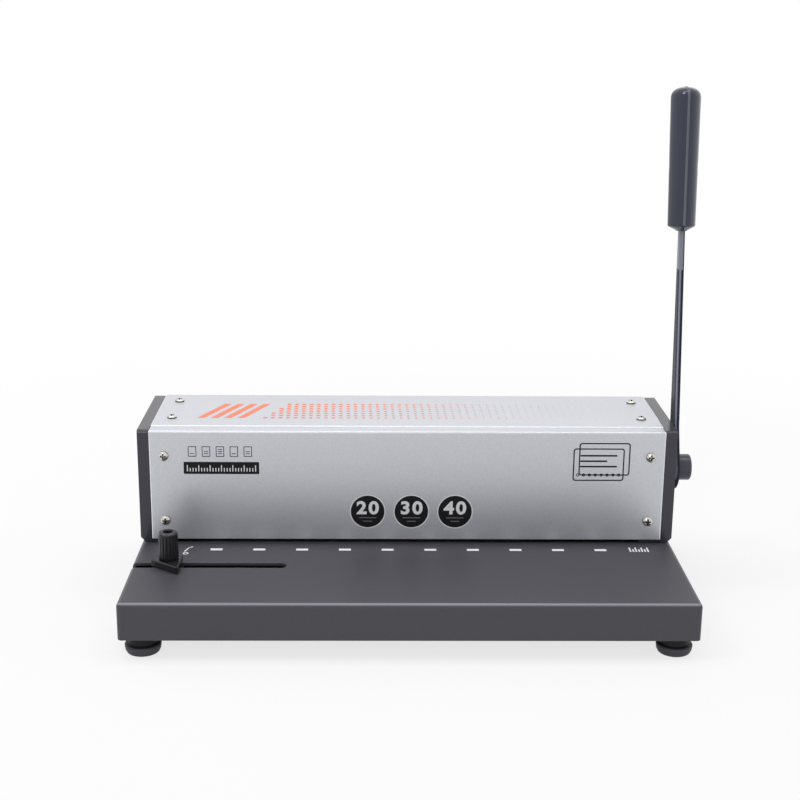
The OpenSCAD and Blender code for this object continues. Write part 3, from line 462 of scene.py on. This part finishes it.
def sheet_ring(x, ease):
    """The sheet's outline at one place along it, with its outer face drawn in by ease."""
    outer_r = [0, BEND_R - ease, STEP_R, STEP_R, BEND_R - ease, 0]
    inner_r = [0, BEND_R - SHEET, STEP_R, STEP_R, BEND_R - SHEET, 0]
    outline = sheet_side(ease) + sheet_side(SHEET)[::-1]
    return [(x, y, z) for y, z in rounded(outline, outer_r + inner_r[::-1], BEND_ARC)]


def sheet_rings():
    """Rings from end to end, with the outer edge of each end rounded."""
    turns = [math.radians(90 * k / END_STEPS) for k in range(END_STEPS + 1)]
    eases = [(END_R * (1 - math.cos(a)), END_R * (1 - math.sin(a))) for a in turns]
    rings = [sheet_ring(cover_low.x + along, ease) for along, ease in eases]
    return rings + [sheet_ring(cover_high.x - along, ease) for along, ease in reversed(eases)]


cover = skin("cover_sheet", *loft(sheet_rings()), FINISH["cover_paint"], sharp=30)
piece(cover, "frame", "cover_paint", "cover")


# Lever grip, moulded in two halves with a parting ridge

LEAN = math.radians(7.1)
# Heights of the grip along the lever from the shaft
GRIP_START = 171.5
GRIP_END = 272.0
GRIP_SIDE = -0.35
GRIP_POINTS = 160
# How far points gather at a ring's flat faces, and how square its outline is
GATHER = 0.42
GRIP_POWER = 1.6
# The hole for the lever's tang
TANG_DEEP = 65.05
TANG_HOLE = (2.05, 4.05, 7, 0)
# Height over the grip's start, half width, half depth and power: two rings of the collar, then
# the flare's foot with what it gains by its top, and the rim over the flare likewise
COLLAR = ((0, 3.6, 5.6, 2.6), (0.3, 3.9, 5.9, 2.4))
FLARE = ((0.6, 4.3, 6.4, 2.2), (2.6, 5.2, 5.5, -0.6))
FLARE_STEPS = 4
RIM = ((3.3, 9.6, 12.0), (0.5, 0.3, 0.3))
RIM_STEPS = 3
# The body widens a little towards the dome, and has a faint waist
BODY_START = 4.0
BODY_HALF = 9.9
BODY_GAIN = 0.75
BODY_STEPS = 44
BODY_DEPTH = 1.25
WAIST_AT = 217.0
WAIST_REACH = 3.0
WAIST_SHARE = 0.012
DOME = 8.0
DOME_HALF_W = 10.65
DOME_HALF_D = 13.31
DOME_POWER = 2.4
DOME_STEPS = 17
# The ridge's outline, sideways and outwards
SEAM_SIDE = -0.85
SEAM = [(-0.9, -0.6), (0.9, -0.6), (0.75, 0.2), (0.45, 0.4), (-0.45, 0.4), (-0.75, 0.2)]
at_lever = axes((1, 0, 0), (0, math.cos(LEAN), -math.sin(LEAN)), (0, math.sin(LEAN), math.cos(LEAN)),
                (LEVER_X, SHAFT_Y, SHAFT_Z))


def grip_ring(height, half_w, half_d, power=GRIP_POWER, side=GRIP_SIDE):
    """A ring with two flat faces at the front and back, which meet at the parting line."""
    ring = []
    for k in range(GRIP_POINTS):
        s = 2 * math.pi * k / GRIP_POINTS
        t = s + GATHER * math.sin(2 * s)
        c, d = math.cos(t), math.sin(t)
        x = half_w * math.copysign(abs(c) ** (2 / power), c)
        y = half_d * math.copysign(abs(d) ** (2 / power), d)
        ring.append(at_lever @ Vector((x + side, y, height)))
    return ring


def grip_foot():
    """Rings from the tang's hole round the collar to the widest part."""
    rings = [grip_ring(GRIP_START + TANG_DEEP, *TANG_HOLE), grip_ring(GRIP_START, *TANG_HOLE)]
    rows = list(COLLAR)
    for k in range(FLARE_STEPS + 1):
        rows.append([low + gain * k / FLARE_STEPS for low, gain in zip(*FLARE)])
    for k in range(RIM_STEPS + 1):
        share = math.sin(math.radians(90 * k / RIM_STEPS))
        rows.append([low + gain * share for low, gain in zip(*RIM)])
    return rings + [grip_ring(GRIP_START + height, *sizes) for height, *sizes in rows]


def grip_sizes():
    """Height, half width and half depth up the body and over the dome."""
    sizes = []
    body_low = GRIP_START + BODY_START
    dome_low = GRIP_END - DOME
    for k in range(BODY_STEPS + 1):
        share = k / BODY_STEPS
        height = body_low + (dome_low - body_low) * share
        waist = WAIST_SHARE * math.exp(-((height - WAIST_AT) / WAIST_REACH) ** 2)
        half = (BODY_HALF + BODY_GAIN * share) * (1 - waist)
        sizes.append((height, half, half * BODY_DEPTH))
    for k in range(1, DOME_STEPS):
        a = math.radians(90 * k / DOME_STEPS)
        rise = math.sin(a) ** (2 / DOME_POWER)
        draw = math.cos(a) ** (2 / DOME_POWER)
        sizes.append((dome_low + DOME * rise, DOME_HALF_W * draw, DOME_HALF_D * draw))
    return sizes


def grip_rings():
    return grip_foot() + [grip_ring(*size) for size in grip_sizes()]


def seam_rings():
    """The raised parting line, up the front, over the dome and down the back."""
    front = [Vector((-half_d, height)) for height, half_w, half_d in grip_sizes()]
    path = front + [Vector((-p.x, p.y)) for p in reversed(front)]
    rings = []
    for k, p in enumerate(path):
        along = path[min(k + 1, len(path) - 1)] - path[max(k - 1, 0)]
        out = Vector((-along.y, along.x)).normalized()
        rings.append([at_lever @ Vector((SEAM_SIDE + x, p.x + out.x * h, p.y + out.y * h))
                      for x, h in SEAM])
    return rings


grip = skin("grip_moulding", *loft(grip_rings()), FINISH["grip_plastic"], sharp=50)
piece(grip, "lever", "grip_plastic", "lever_grip")
# The ridge takes the paler colour, a painted highlight
seam = skin("grip_parting_line", *loft(seam_rings()), FINISH["seam_highlight"], sharp=50)
piece(seam, "lever", "grip_plastic")


# Hub cap, a cup with a dished end

HUB_WALL = 2
HUB_TURNS = 96
cap_r = (hub_high.y - hub_low.y) / 2
cap_l = hub_high.x - hub_low.x
# A lathe's inner points stay just off its axis
AXIS_R = 0.01
at_hub = axes((0, 1, 0), (0, 0, 1), (1, 0, 0), (hub_low.x, SHAFT_Y, SHAFT_Z))
hub_profile = rounded(
    [(cap_r - HUB_WALL, 0), (cap_r, 0), (cap_r, cap_l - 1.3), (cap_r - 1, cap_l - 0.35),
     (cap_r - 2.8, cap_l), (cap_r - 3.1, cap_l - 0.4), (AXIS_R, cap_l - 0.3), (AXIS_R, cap_l - 2.2),
     (cap_r - HUB_WALL, cap_l - 4)],
    [0.2, 0.3, 0.4, 0.5, 0.2, 0.2, 0, 0, 0.5])
hub = skin("hub_cap_moulding", *lathe(hub_profile, HUB_TURNS, at_hub), FINISH["hub_plastic"],
           sharp=45)
piece(hub, "lever", "grip_plastic", "hub_cap")


# Feet, each with a hole and a recess for its screw

FOOT_BORE = 2.2
FOOT_RECESS = 3.7
FOOT_RECESS_H = 5
FOOT_NECK = 9.5
FOOT_H = 13.5
FOOT_TURNS = 80
for name in ("foot_front_left", "foot_front_right", "foot_rear_left", "foot_rear_right"):
    low, high = box_mm(name)
    r = (high.x - low.x) / 2
    foot_profile = rounded(
        [(FOOT_RECESS, 0), (r - 1.5, 0), (r - 0.4, 2.2), (r, 5.2), (r - 0.5, 6.0), (FOOT_NECK, 7.0),
         (FOOT_NECK, FOOT_H), (FOOT_BORE, FOOT_H), (FOOT_BORE, FOOT_RECESS_H),
         (FOOT_RECESS, FOOT_RECESS_H)],
        [0.3, 0.8, 1.0, 0.35, 0.35, 0.8, 0.2, 0, 0, 0])
    at_foot = Matrix.Translation(((low.x + high.x) / 2, (low.y + high.y) / 2, 0))
    foot = skin(name + "_moulding", *lathe(foot_profile, FOOT_TURNS, at_foot), FINISH["rubber"],
                sharp=40)
    piece(foot, "frame", "rubber", name)


# Clamp knob with flutes

FLUTES = 16
FLUTE_POINTS = FLUTES * 10
FLUTE_POWER = 1.6
KNOB_H = knob_high.z - knob_low.z
KNOB_R = 6.75
KNOB_DRAFT = 0.22
KNOB_FLUTE = 0.55
BODY_LOW = 0.5
BODY_RISE = KNOB_H - 3.4
KNOB_STEPS = 8
TOP_R = 4.9
TOP_ROUND = 1.6
TOP_STEPS = 7
# Radius, height and depth of the flutes: the foot, the flutes' ends and the bore at the top
KNOB_FOOT = [(3.05, 0, 0), (6.2, 0, 0.2), (6.6, 0.15, 0.5), (KNOB_R, BODY_LOW, KNOB_FLUTE)]
KNOB_NECK = [(6.52, KNOB_H - 2.3, 0.4), (6.50, KNOB_H - 1.9, 0.15)]
KNOB_BORE = [(3.7, KNOB_H, 0), (3.4, KNOB_H - 0.1, 0), (3.25, KNOB_H - 0.4, 0),
             (3.25, KNOB_H - 4, 0), (3.05, KNOB_H - 4.2, 0)]
knob_mid = (knob_low + knob_high) / 2


def knob_ring(radius, height, flute):
    ring = []
    for k in range(FLUTE_POINTS):
        a = 2 * math.pi * k / FLUTE_POINTS
        r = radius - flute * max(0.0, math.cos(FLUTES * a)) ** FLUTE_POWER
        ring.append((knob_mid.x + r * math.cos(a), knob_mid.y + r * math.sin(a), knob_low.z + height))
    return ring


def knob_rings():
    rows = list(KNOB_FOOT)
    for k in range(KNOB_STEPS + 1):
        share = k / KNOB_STEPS
        rows.append((KNOB_R - KNOB_DRAFT * share, BODY_LOW + BODY_RISE * share, KNOB_FLUTE))
    rows += KNOB_NECK
    for k in range(TOP_STEPS + 1):
        a = math.radians(90 * k / TOP_STEPS)
        rows.append((TOP_R + TOP_ROUND * math.cos(a), KNOB_H - TOP_ROUND + TOP_ROUND * math.sin(a), 0))
    return [knob_ring(*row) for row in rows + KNOB_BORE]


knob = skin("knob_moulding", *loft(knob_rings(), True), FINISH["knob_plastic"], sharp=40)
piece(knob, "knob", "knob_plastic", "guide_knob")


# Return springs, which close up round their posts as the ram comes down

SPRING_WIRE = 1.1
SPRING_TURNS = 5.5
SPRING_STEPS = 32
WIRE_SIDES = 12


def coil_rings(low, high):
    """Rings of the wire along the spring's turns, from its foot to its top."""
    middle = (low + high) / 2
    coil_r = (high.x - low.x - SPRING_WIRE) / 2
    rise = high.z - low.z - SPRING_WIRE
    count = round(SPRING_TURNS * SPRING_STEPS)
    rings = []
    for k in range(count + 1):
        a = 2 * math.pi * k / SPRING_STEPS
        out = Vector((math.cos(a), math.sin(a), 0))
        height = low.z + SPRING_WIRE / 2 + rise * k / count
        heart = Vector((middle.x, middle.y, height)) + coil_r * out
        ring = []
        for j in range(WIRE_SIDES):
            b = 2 * math.pi * j / WIRE_SIDES
            ring.append(heart + SPRING_WIRE / 2 * (math.cos(b) * out + math.sin(b) * Vector((0, 0, 1))))
        rings.append(ring)
    return rings


for side in ("left", "right"):
    low, high = box_mm(side + "_return_spring")
    spring = skin(side + "_spring_coil", *loft(coil_rings(low, high)), FINISH["steel"], sharp=50)
    piece(spring, "frame", "steel", side + "_return_spring")
    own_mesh(spring)


# Solids that stay in view, with the width of their rounded edges

SOFTENED = {
    "base_shell": 0.3, "bottom_plate": 0.2, "rear_panel": 0.2, "lever_washer": 0.3,
    "chip_drawer": 0.25, "drawer_runners": 0.2, "cover_screws": 0.1, "rear_panel_screws": 0.1,
    "end_cap_screws": 0.15, "foot_screws": 0.15, "guide_bolt": 0.3, "slide_plate": 0.3,
    "die_plate": 0.2, "stripper_plate": 0.3, "back_stop": 0.2,
}
for name, width in SOFTENED.items():
    soften(name, width)
soften("left_end_cap", 1.7, 5)
soften("right_end_cap", 1.7, 5)
soften("stop_block", 0.55, 3)
# The lever's edges round off further than its eye's short edges allow
soften("lever_arm", 1.9, 6).use_clamp_overlap = False


# Printing, thin films of ink on the cover and the table

FILM = 0.06
SINK = 0.04
ON_FRONT = axes((1, 0, 0), (0, 0, 1), (0, -1, 0), (MID_X, FRONT_Y, TABLE_Z))
ON_TOP = axes((1, 0, 0), (0, 1, 0), (0, 0, 1), (MID_X, FRONT_Y, TOP_Z))
ON_TABLE = axes((1, 0, 0), (0, 1, 0), (0, 0, 1), (MID_X, FRONT_Y, TABLE_Z))
DIGIT_BOLD = 0.035
DIGIT_SPACE = 1.2
DIGIT_WIDE = 1.1
RECT_ARC = 15


class Ink:
    """Gathers the films of one colour into one piece."""

    def __init__(self):
        self.verts = []
        self.faces = []

    def area(self, place, outline, lift=0.0):
        count = len(outline)
        first = len(self.verts)
        for height in (-SINK, FILM + lift):
            self.verts += [place @ Vector((x, y, height)) for x, y in outline]
        self.faces.append(tuple(first + k for k in reversed(range(count))))
        self.faces.append(tuple(first + count + k for k in range(count)))
        for k in range(count):
            n = (k + 1) % count
            self.faces.append((first + k, first + n, first + count + n, first + count + k))

    def ring(self, place, outline, hole):
        count = len(outline)
        first = len(self.verts)
        for line in (outline, hole):
            for height in (-SINK, FILM):
                self.verts += [place @ Vector((x, y, height)) for x, y in line]
        for a, b in ((0, 1), (1, 3), (3, 2), (2, 0)):
            for k in range(count):
                n = (k + 1) % count
                self.faces.append((first + a * count + k, first + a * count + n,
                                   first + b * count + n, first + b * count + k))

    def line(self, place, points, width):
        """A stroke with square ends, one area for each straight run."""
        for start, end in zip(points, points[1:]):
            a, b = Vector(start), Vector(end)
            run = (b - a).normalized() * width / 2
            side = Vector((-run.y, run.x))
            self.area(place, [a - run - side, b + run - side, b + run + side, a - run + side])

    def digits(self, place, text, x, y, size, lift):
        curve = bpy.data.curves.new("digits", "FONT")
        curve.body = text
        curve.size = size
        curve.align_x = "CENTER"
        curve.align_y = "CENTER"
        curve.offset = DIGIT_BOLD * size
        curve.space_character = DIGIT_SPACE
        curve.extrude = FILM / 2
        holder = bpy.data.objects.new("digits", curve)
        bpy.context.scene.collection.objects.link(holder)
        graph = bpy.context.evaluated_depsgraph_get()
        mesh = bpy.data.meshes.new_from_object(holder.evaluated_get(graph))
        first = len(self.verts)
        corner = Vector((x, y, FILM / 2 + lift))
        for v in mesh.vertices:
            self.verts.append(place @ (corner + Vector((DIGIT_WIDE * v.co.x, v.co.y, v.co.z))))
        self.faces += [tuple(first + i for i in face.vertices) for face in mesh.polygons]
        bpy.data.objects.remove(holder)
        bpy.data.meshes.remove(mesh)
        bpy.data.curves.remove(curve)

    def make(self, name, mat, slot):
        return piece(skin(name, self.verts, self.faces, FINISH[mat], sharp=30), "frame", slot)


def circle(x, y, r, count=64):
    return [(x + r * math.cos(2 * math.pi * k / count), y + r * math.sin(2 * math.pi * k / count))
            for k in range(count)]


def rect(x0, y0, x1, y1, r=0.0):
    return rounded([(x0, y0), (x1, y0), (x1, y1), (x0, y1)], r, RECT_ARC)


def bar(x, y, half, thick, r=0.0):
    """A rectangle of some thickness, centred on x and standing on y."""
    return rect(x - half, y, x + half, y + thick, r)


def inner(x0, y0, x1, y1, rim, r):
    """What a rim of some width leaves of a rectangle."""
    return rect(x0 + rim, y0 + rim, x1 - rim, y1 - rim, r)


white, black, silver, grey, orange = Ink(), Ink(), Ink(), Ink(), Ink()

# Three numbered badges, each with two plain bars under its number
BADGES = {"20": -28.1, "30": 2.8, "40": 33.7}
BADGE_Z = 23.7
BADGE_R = 11.9
BADGE_RIM_R = 12.6
NUMBER_UP = 2.3
NUMBER_SIZE = 13.0
BADGE_BARS = ((6.2, -5.0), (3.2, -7.6))
BADGE_BAR_H = 0.7
BADGE_BAR_R = 0.3
for number, x in BADGES.items():
    black.area(ON_FRONT, circle(x, BADGE_Z, BADGE_R))
    silver.ring(ON_FRONT, circle(x, BADGE_Z, BADGE_RIM_R), circle(x, BADGE_Z, BADGE_R))
    silver.digits(ON_FRONT, number, x, BADGE_Z + NUMBER_UP, NUMBER_SIZE, FILM)
    for half, up in BADGE_BARS:
        grey.area(ON_FRONT, bar(x, BADGE_Z + up, half, BADGE_BAR_H, BADGE_BAR_R), FILM)

# Dark label with a plain graduated scale
LABEL = (-156.8, 51.3, -104.1, 60.2)
LABEL_R = 0.6
SCALE_X = -154.2
SCALE_L = 47.6
SCALE_Z = 53.2
SCALE_MARKS = 24
SCALE_HALF = 0.35
LONG_EVERY = 4
LONG_MARK = 4.6
SHORT_MARK = 2.6
black.area(ON_FRONT, rect(*LABEL, LABEL_R))
for k in range(SCALE_MARKS + 1):
    x = SCALE_X + SCALE_L * k / SCALE_MARKS
    tall = SHORT_MARK if k % LONG_EVERY else LONG_MARK
    silver.area(ON_FRONT, bar(x, SCALE_Z, SCALE_HALF, tall), FILM)

# Row of page signs above the label, with one to three lines of plain bars
SIGNS = 5
SIGN_X = -150.6
SIGN_PITCH = 9.7
SIGN_HALF = 2.9
SIGN_LOW = 64.0
SIGN_HIGH = 71.6
SIGN_RIM = 0.5
SIGN_LINES = 3
SIGN_LINE_Z = 66.0
SIGN_LINE_PITCH = 1.5
SIGN_LINE_HALF = 1.5
SIGN_LINE_H = 0.5
for k in range(SIGNS):
    x = SIGN_X + SIGN_PITCH * k
    edges = (x - SIGN_HALF, SIGN_LOW, x + SIGN_HALF, SIGN_HIGH)
    black.ring(ON_FRONT, rect(*edges, 0.5), inner(*edges, SIGN_RIM, 0.3))
    for j in range(k % SIGN_LINES + 1):
        z = SIGN_LINE_Z + SIGN_LINE_PITCH * j
        black.area(ON_FRONT, bar(x, z, SIGN_LINE_HALF, SIGN_LINE_H))

# Sign of two pages with a punched edge at the right
PAGE = (116, 47, 152, 71)
PAGE_RIM = 0.9
PAGE_SHIFTS = (0.0, 4.0)
HOLES = 8
HOLE_X = 119.5
HOLE_PITCH = 4.15
HOLE_Z = 51.4
HOLE_R = 0.6
HOLE_RIM_R = 1.15
HOLE_POINTS = 24
# Edges of the lines on the page, the lowest first
PAGE_LINES = ((121, 57, 147, 58.2), (121, 61, 140, 62.2), (121, 65, 147, 66.2))
for shift in PAGE_SHIFTS:
    edges = [edge + shift for edge in PAGE]
    black.ring(ON_FRONT, rect(*edges, 2.0), inner(*edges, PAGE_RIM, 1.2))
for k in range(HOLES):
    x = HOLE_X + HOLE_PITCH * k
    black.ring(ON_FRONT, circle(x, HOLE_Z, HOLE_RIM_R, HOLE_POINTS),
               circle(x, HOLE_Z, HOLE_R, HOLE_POINTS))
for edges in PAGE_LINES:
    black.area(ON_FRONT, rect(*edges, 0.4))

# Plain stripes and dots on the top
STRIPES = 4
STRIPE_X = -150
STRIPE_PITCH = 9.5
STRIPE_LOW = 30
STRIPE_HIGH = 66
STRIPE_WIDE = 5.2
STRIPE_LEAN = 16
for k in range(STRIPES):
    x = STRIPE_X + STRIPE_PITCH * k
    orange.area(ON_TOP, [(x, STRIPE_LOW), (x + STRIPE_WIDE, STRIPE_LOW),
                         (x + STRIPE_WIDE + STRIPE_LEAN, STRIPE_HIGH), (x + STRIPE_LEAN, STRIPE_HIGH)])
DOT_ROWS = 7
DOTS = 44
DOT_X = -94
DOT_Y = 30.8
DOT_PITCH_X = 5.4
DOT_PITCH_Y = 5.8
DOT_R = 1.75
DOT_POINTS = 20
# Dots shrink along the row, to nothing at this count
DOTS_END = 46
# The rows lean about a middle line
DOT_LEAN = 0.44
DOT_MID_Y = 48
for row in range(DOT_ROWS):
    y = DOT_Y + DOT_PITCH_Y * row
    for k in range(DOTS):
        x = DOT_X + DOT_PITCH_X * k + DOT_PITCH_X / 2 * (row % 2) + DOT_LEAN * (y - DOT_MID_Y)
        orange.area(ON_TOP, circle(x, y, DOT_R * (1 - k / DOTS_END), DOT_POINTS))

# White marks on the table: one for each hole, a comb of ticks, and a sign beside the paper stop
MARKS = 10
MARK_PITCH = 30
MARK_MID = 1.05
MARK_HALF = 4.2
MARK_Y = -14.9
MARK_H = 3.5
TICKS = 7
TICK_X = 157.0
TICK_PITCH = 2.085
TICK_HALF = 0.52
TICK_Y = -16.2
# Lengths of every first and second tick
TICK_L = (7.9, 4.7)
STOP_RING = (-154.6, -20.5)
STOP_RING_R = 2.0
STOP_HOLE_R = 1.1
STOP_HOOK = [(-155.6, -16.8), (-153.6, -10.2), (-151.6, -8.6)]
HOOK_WIDE = 1.1
for k in range(MARKS):
    x = MARK_MID + MARK_PITCH * (k - (MARKS - 1) / 2)
    white.area(ON_TABLE, bar(x, MARK_Y, MARK_HALF, MARK_H, 0.4))
for k in range(TICKS):
    white.area(ON_TABLE, bar(TICK_X + TICK_PITCH * k, TICK_Y, TICK_HALF, TICK_L[k % 2], 0.2))
white.ring(ON_TABLE, circle(*STOP_RING, STOP_RING_R, 32), circle(*STOP_RING, STOP_HOLE_R, 32))
white.line(ON_TABLE, STOP_HOOK, HOOK_WIDE)

white.make("print_white", "white_ink", "base_paint")
black.make("print_black", "black_ink", "cover_paint")
silver.make("print_silver", "silver_ink", "cover_paint")
grey.make("print_grey", "grey_ink", "cover_paint")
orange.make("print_orange", "orange_ink", "cover_paint")


# Stage

def seen_rays(tree):
    """One for rays from the camera and for those that a glossy or clear surface sends on."""
    path = node(tree, "ShaderNodeLightPath")
    total = path.outputs["Is Camera Ray"]
    for other in ("Is Glossy Ray", "Is Transmission Ray"):
        total = node(tree, "ShaderNodeMath", {0: total, 1: path.outputs[other]},
                     operation="MAXIMUM").outputs[0]
    return total


AMBIENT = 0.5
scene = bpy.context.scene
world = bpy.data.worlds.new("studio")
scene.world = world
world.use_nodes = True
tree = world.node_tree
back = tree.nodes["Background"]
back.inputs["Color"].default_value = (1, 1, 1, 1)
tree.links.new(ramp(tree, seen_rays(tree), 0.0, 1.0, AMBIENT, 1.0), back.inputs["Strength"])

# The floor shows its shadow near the object and turns to pure white further out, in metres
FLOOR_M = 4.0
SHADOW_REACH = (0.35, 0.85)
WHITE_NEAR = 0.74
FLOOR_DARK = (0.93, 0.93, 0.93, 1)
FLOOR_LIGHT = (0.96, 0.96, 0.96, 1)
floor_mat = bpy.data.materials.new("pale_floor")
floor_mat.use_nodes = True
tree = floor_mat.node_tree
tree.nodes.remove(tree.nodes["Principled BSDF"])
coord = node(tree, "ShaderNodeTexCoord")
away = node(tree, "ShaderNodeVectorMath", {0: coord.outputs["Object"]}, operation="LENGTH")
far = node(tree, "ShaderNodeMapRange", {"Value": away.outputs["Value"], "From Min": SHADOW_REACH[0],
                                        "From Max": SHADOW_REACH[1]}, interpolation_type="SMOOTHSTEP")
share = product(tree, ramp(tree, far.outputs[0], 0.0, 1.0, WHITE_NEAR, 1.0), seen_rays(tree))
cloud = node(tree, "ShaderNodeTexNoise", {"Vector": coord.outputs["Object"], "Scale": 9.0,
                                          "Detail": 3.0})
pale = node(tree, "ShaderNodeMix", {0: cloud.outputs[0], 6: FLOOR_DARK, 7: FLOOR_LIGHT},
            data_type="RGBA")
lit = node(tree, "ShaderNodeBsdfDiffuse", {"Color": pale.outputs[2]})
glow = node(tree, "ShaderNodeEmission", {"Strength": 1.0})
whole = node(tree, "ShaderNodeMixShader", {0: share, 1: lit.outputs[0], 2: glow.outputs[0]})
tree.links.new(whole.outputs[0], tree.nodes["Material Output"].inputs["Surface"])

edge = FLOOR_M / MM
corners = [(-edge, -edge, 0), (edge, -edge, 0), (edge, edge, 0), (-edge, edge, 0)]
floor = skin("floor", corners, [(0, 1, 2, 3)], floor_mat, sharp=35)


# Lamps, with places and sizes in metres and power in watts

def softbox(name, place, aim, width, height, power, mirrored=True):
    lamp = bpy.data.lights.new(name, "AREA")
    lamp.shape = "RECTANGLE"
    lamp.size = width
    lamp.size_y = height
    lamp.energy = power
    made = bpy.data.objects.new(name, lamp)
    made.location = place
    made.rotation_euler = (Vector(aim) - Vector(place)).to_track_quat("-Z", "Y").to_euler()
    made.visible_glossy = mirrored
    scene.collection.objects.link(made)


softbox("overhead", (0.0, 0.1, 1.6), (0.0, 0.0, 0.1), 1.8, 0.5, 7.8)
softbox("key", (-1.1, -0.24, 1.55), (0.1, 0.0, 0.2), 0.36, 0.36, 5.0)
softbox("rear", (0.0, 1.3, 1.0), (0.0, 0.0, 0.1), 2.0, 0.7, 1.6)
softbox("front_strip", (-0.5, -1.7, 1.1), (0.0, 0.0, 0.1), 0.3, 1.3, 3.6)
softbox("left", (-1.3, 0.9, 0.5), (0.0, 0.0, 0.2), 0.6, 1.0, 2.6, mirrored=False)
softbox("right", (1.5, -0.3, 0.7), (0.0, 0.0, 0.1), 0.6, 0.6, 2.2, mirrored=False)


# Camera, fitted to the photograph

IMAGE_PX = 800
FOCAL_PX = 1433.3
SENSOR_MM = 36.0
CLIP_END_M = 50.0
PITCH = math.radians(15.776)
YAW = math.radians(-1.105)
ROLL = math.radians(-0.529)
CAMERA = Vector((MID_X - 24.354, FRONT_Y - 953.942, TABLE_Z + 375.244))
turned = Matrix.Rotation(YAW, 3, "Z")
ahead = turned @ Vector((0, math.cos(PITCH), -math.sin(PITCH)))
right = turned @ Vector((1, 0, 0))
down = ahead.cross(right)
image_right = math.cos(ROLL) * right + math.sin(ROLL) * down
image_down = -math.sin(ROLL) * right + math.cos(ROLL) * down
lens = bpy.data.cameras.new("camera")
lens.sensor_width = SENSOR_MM
lens.lens = FOCAL_PX * SENSOR_MM / IMAGE_PX
lens.clip_end = CLIP_END_M
camera = bpy.data.objects.new("camera", lens)
camera.matrix_world = axes(image_right, -image_down, -ahead, CAMERA * MM)
scene.collection.objects.link(camera)
scene.camera = camera
scene.view_settings.view_transform = "Standard"

bpy.context.view_layer.update()
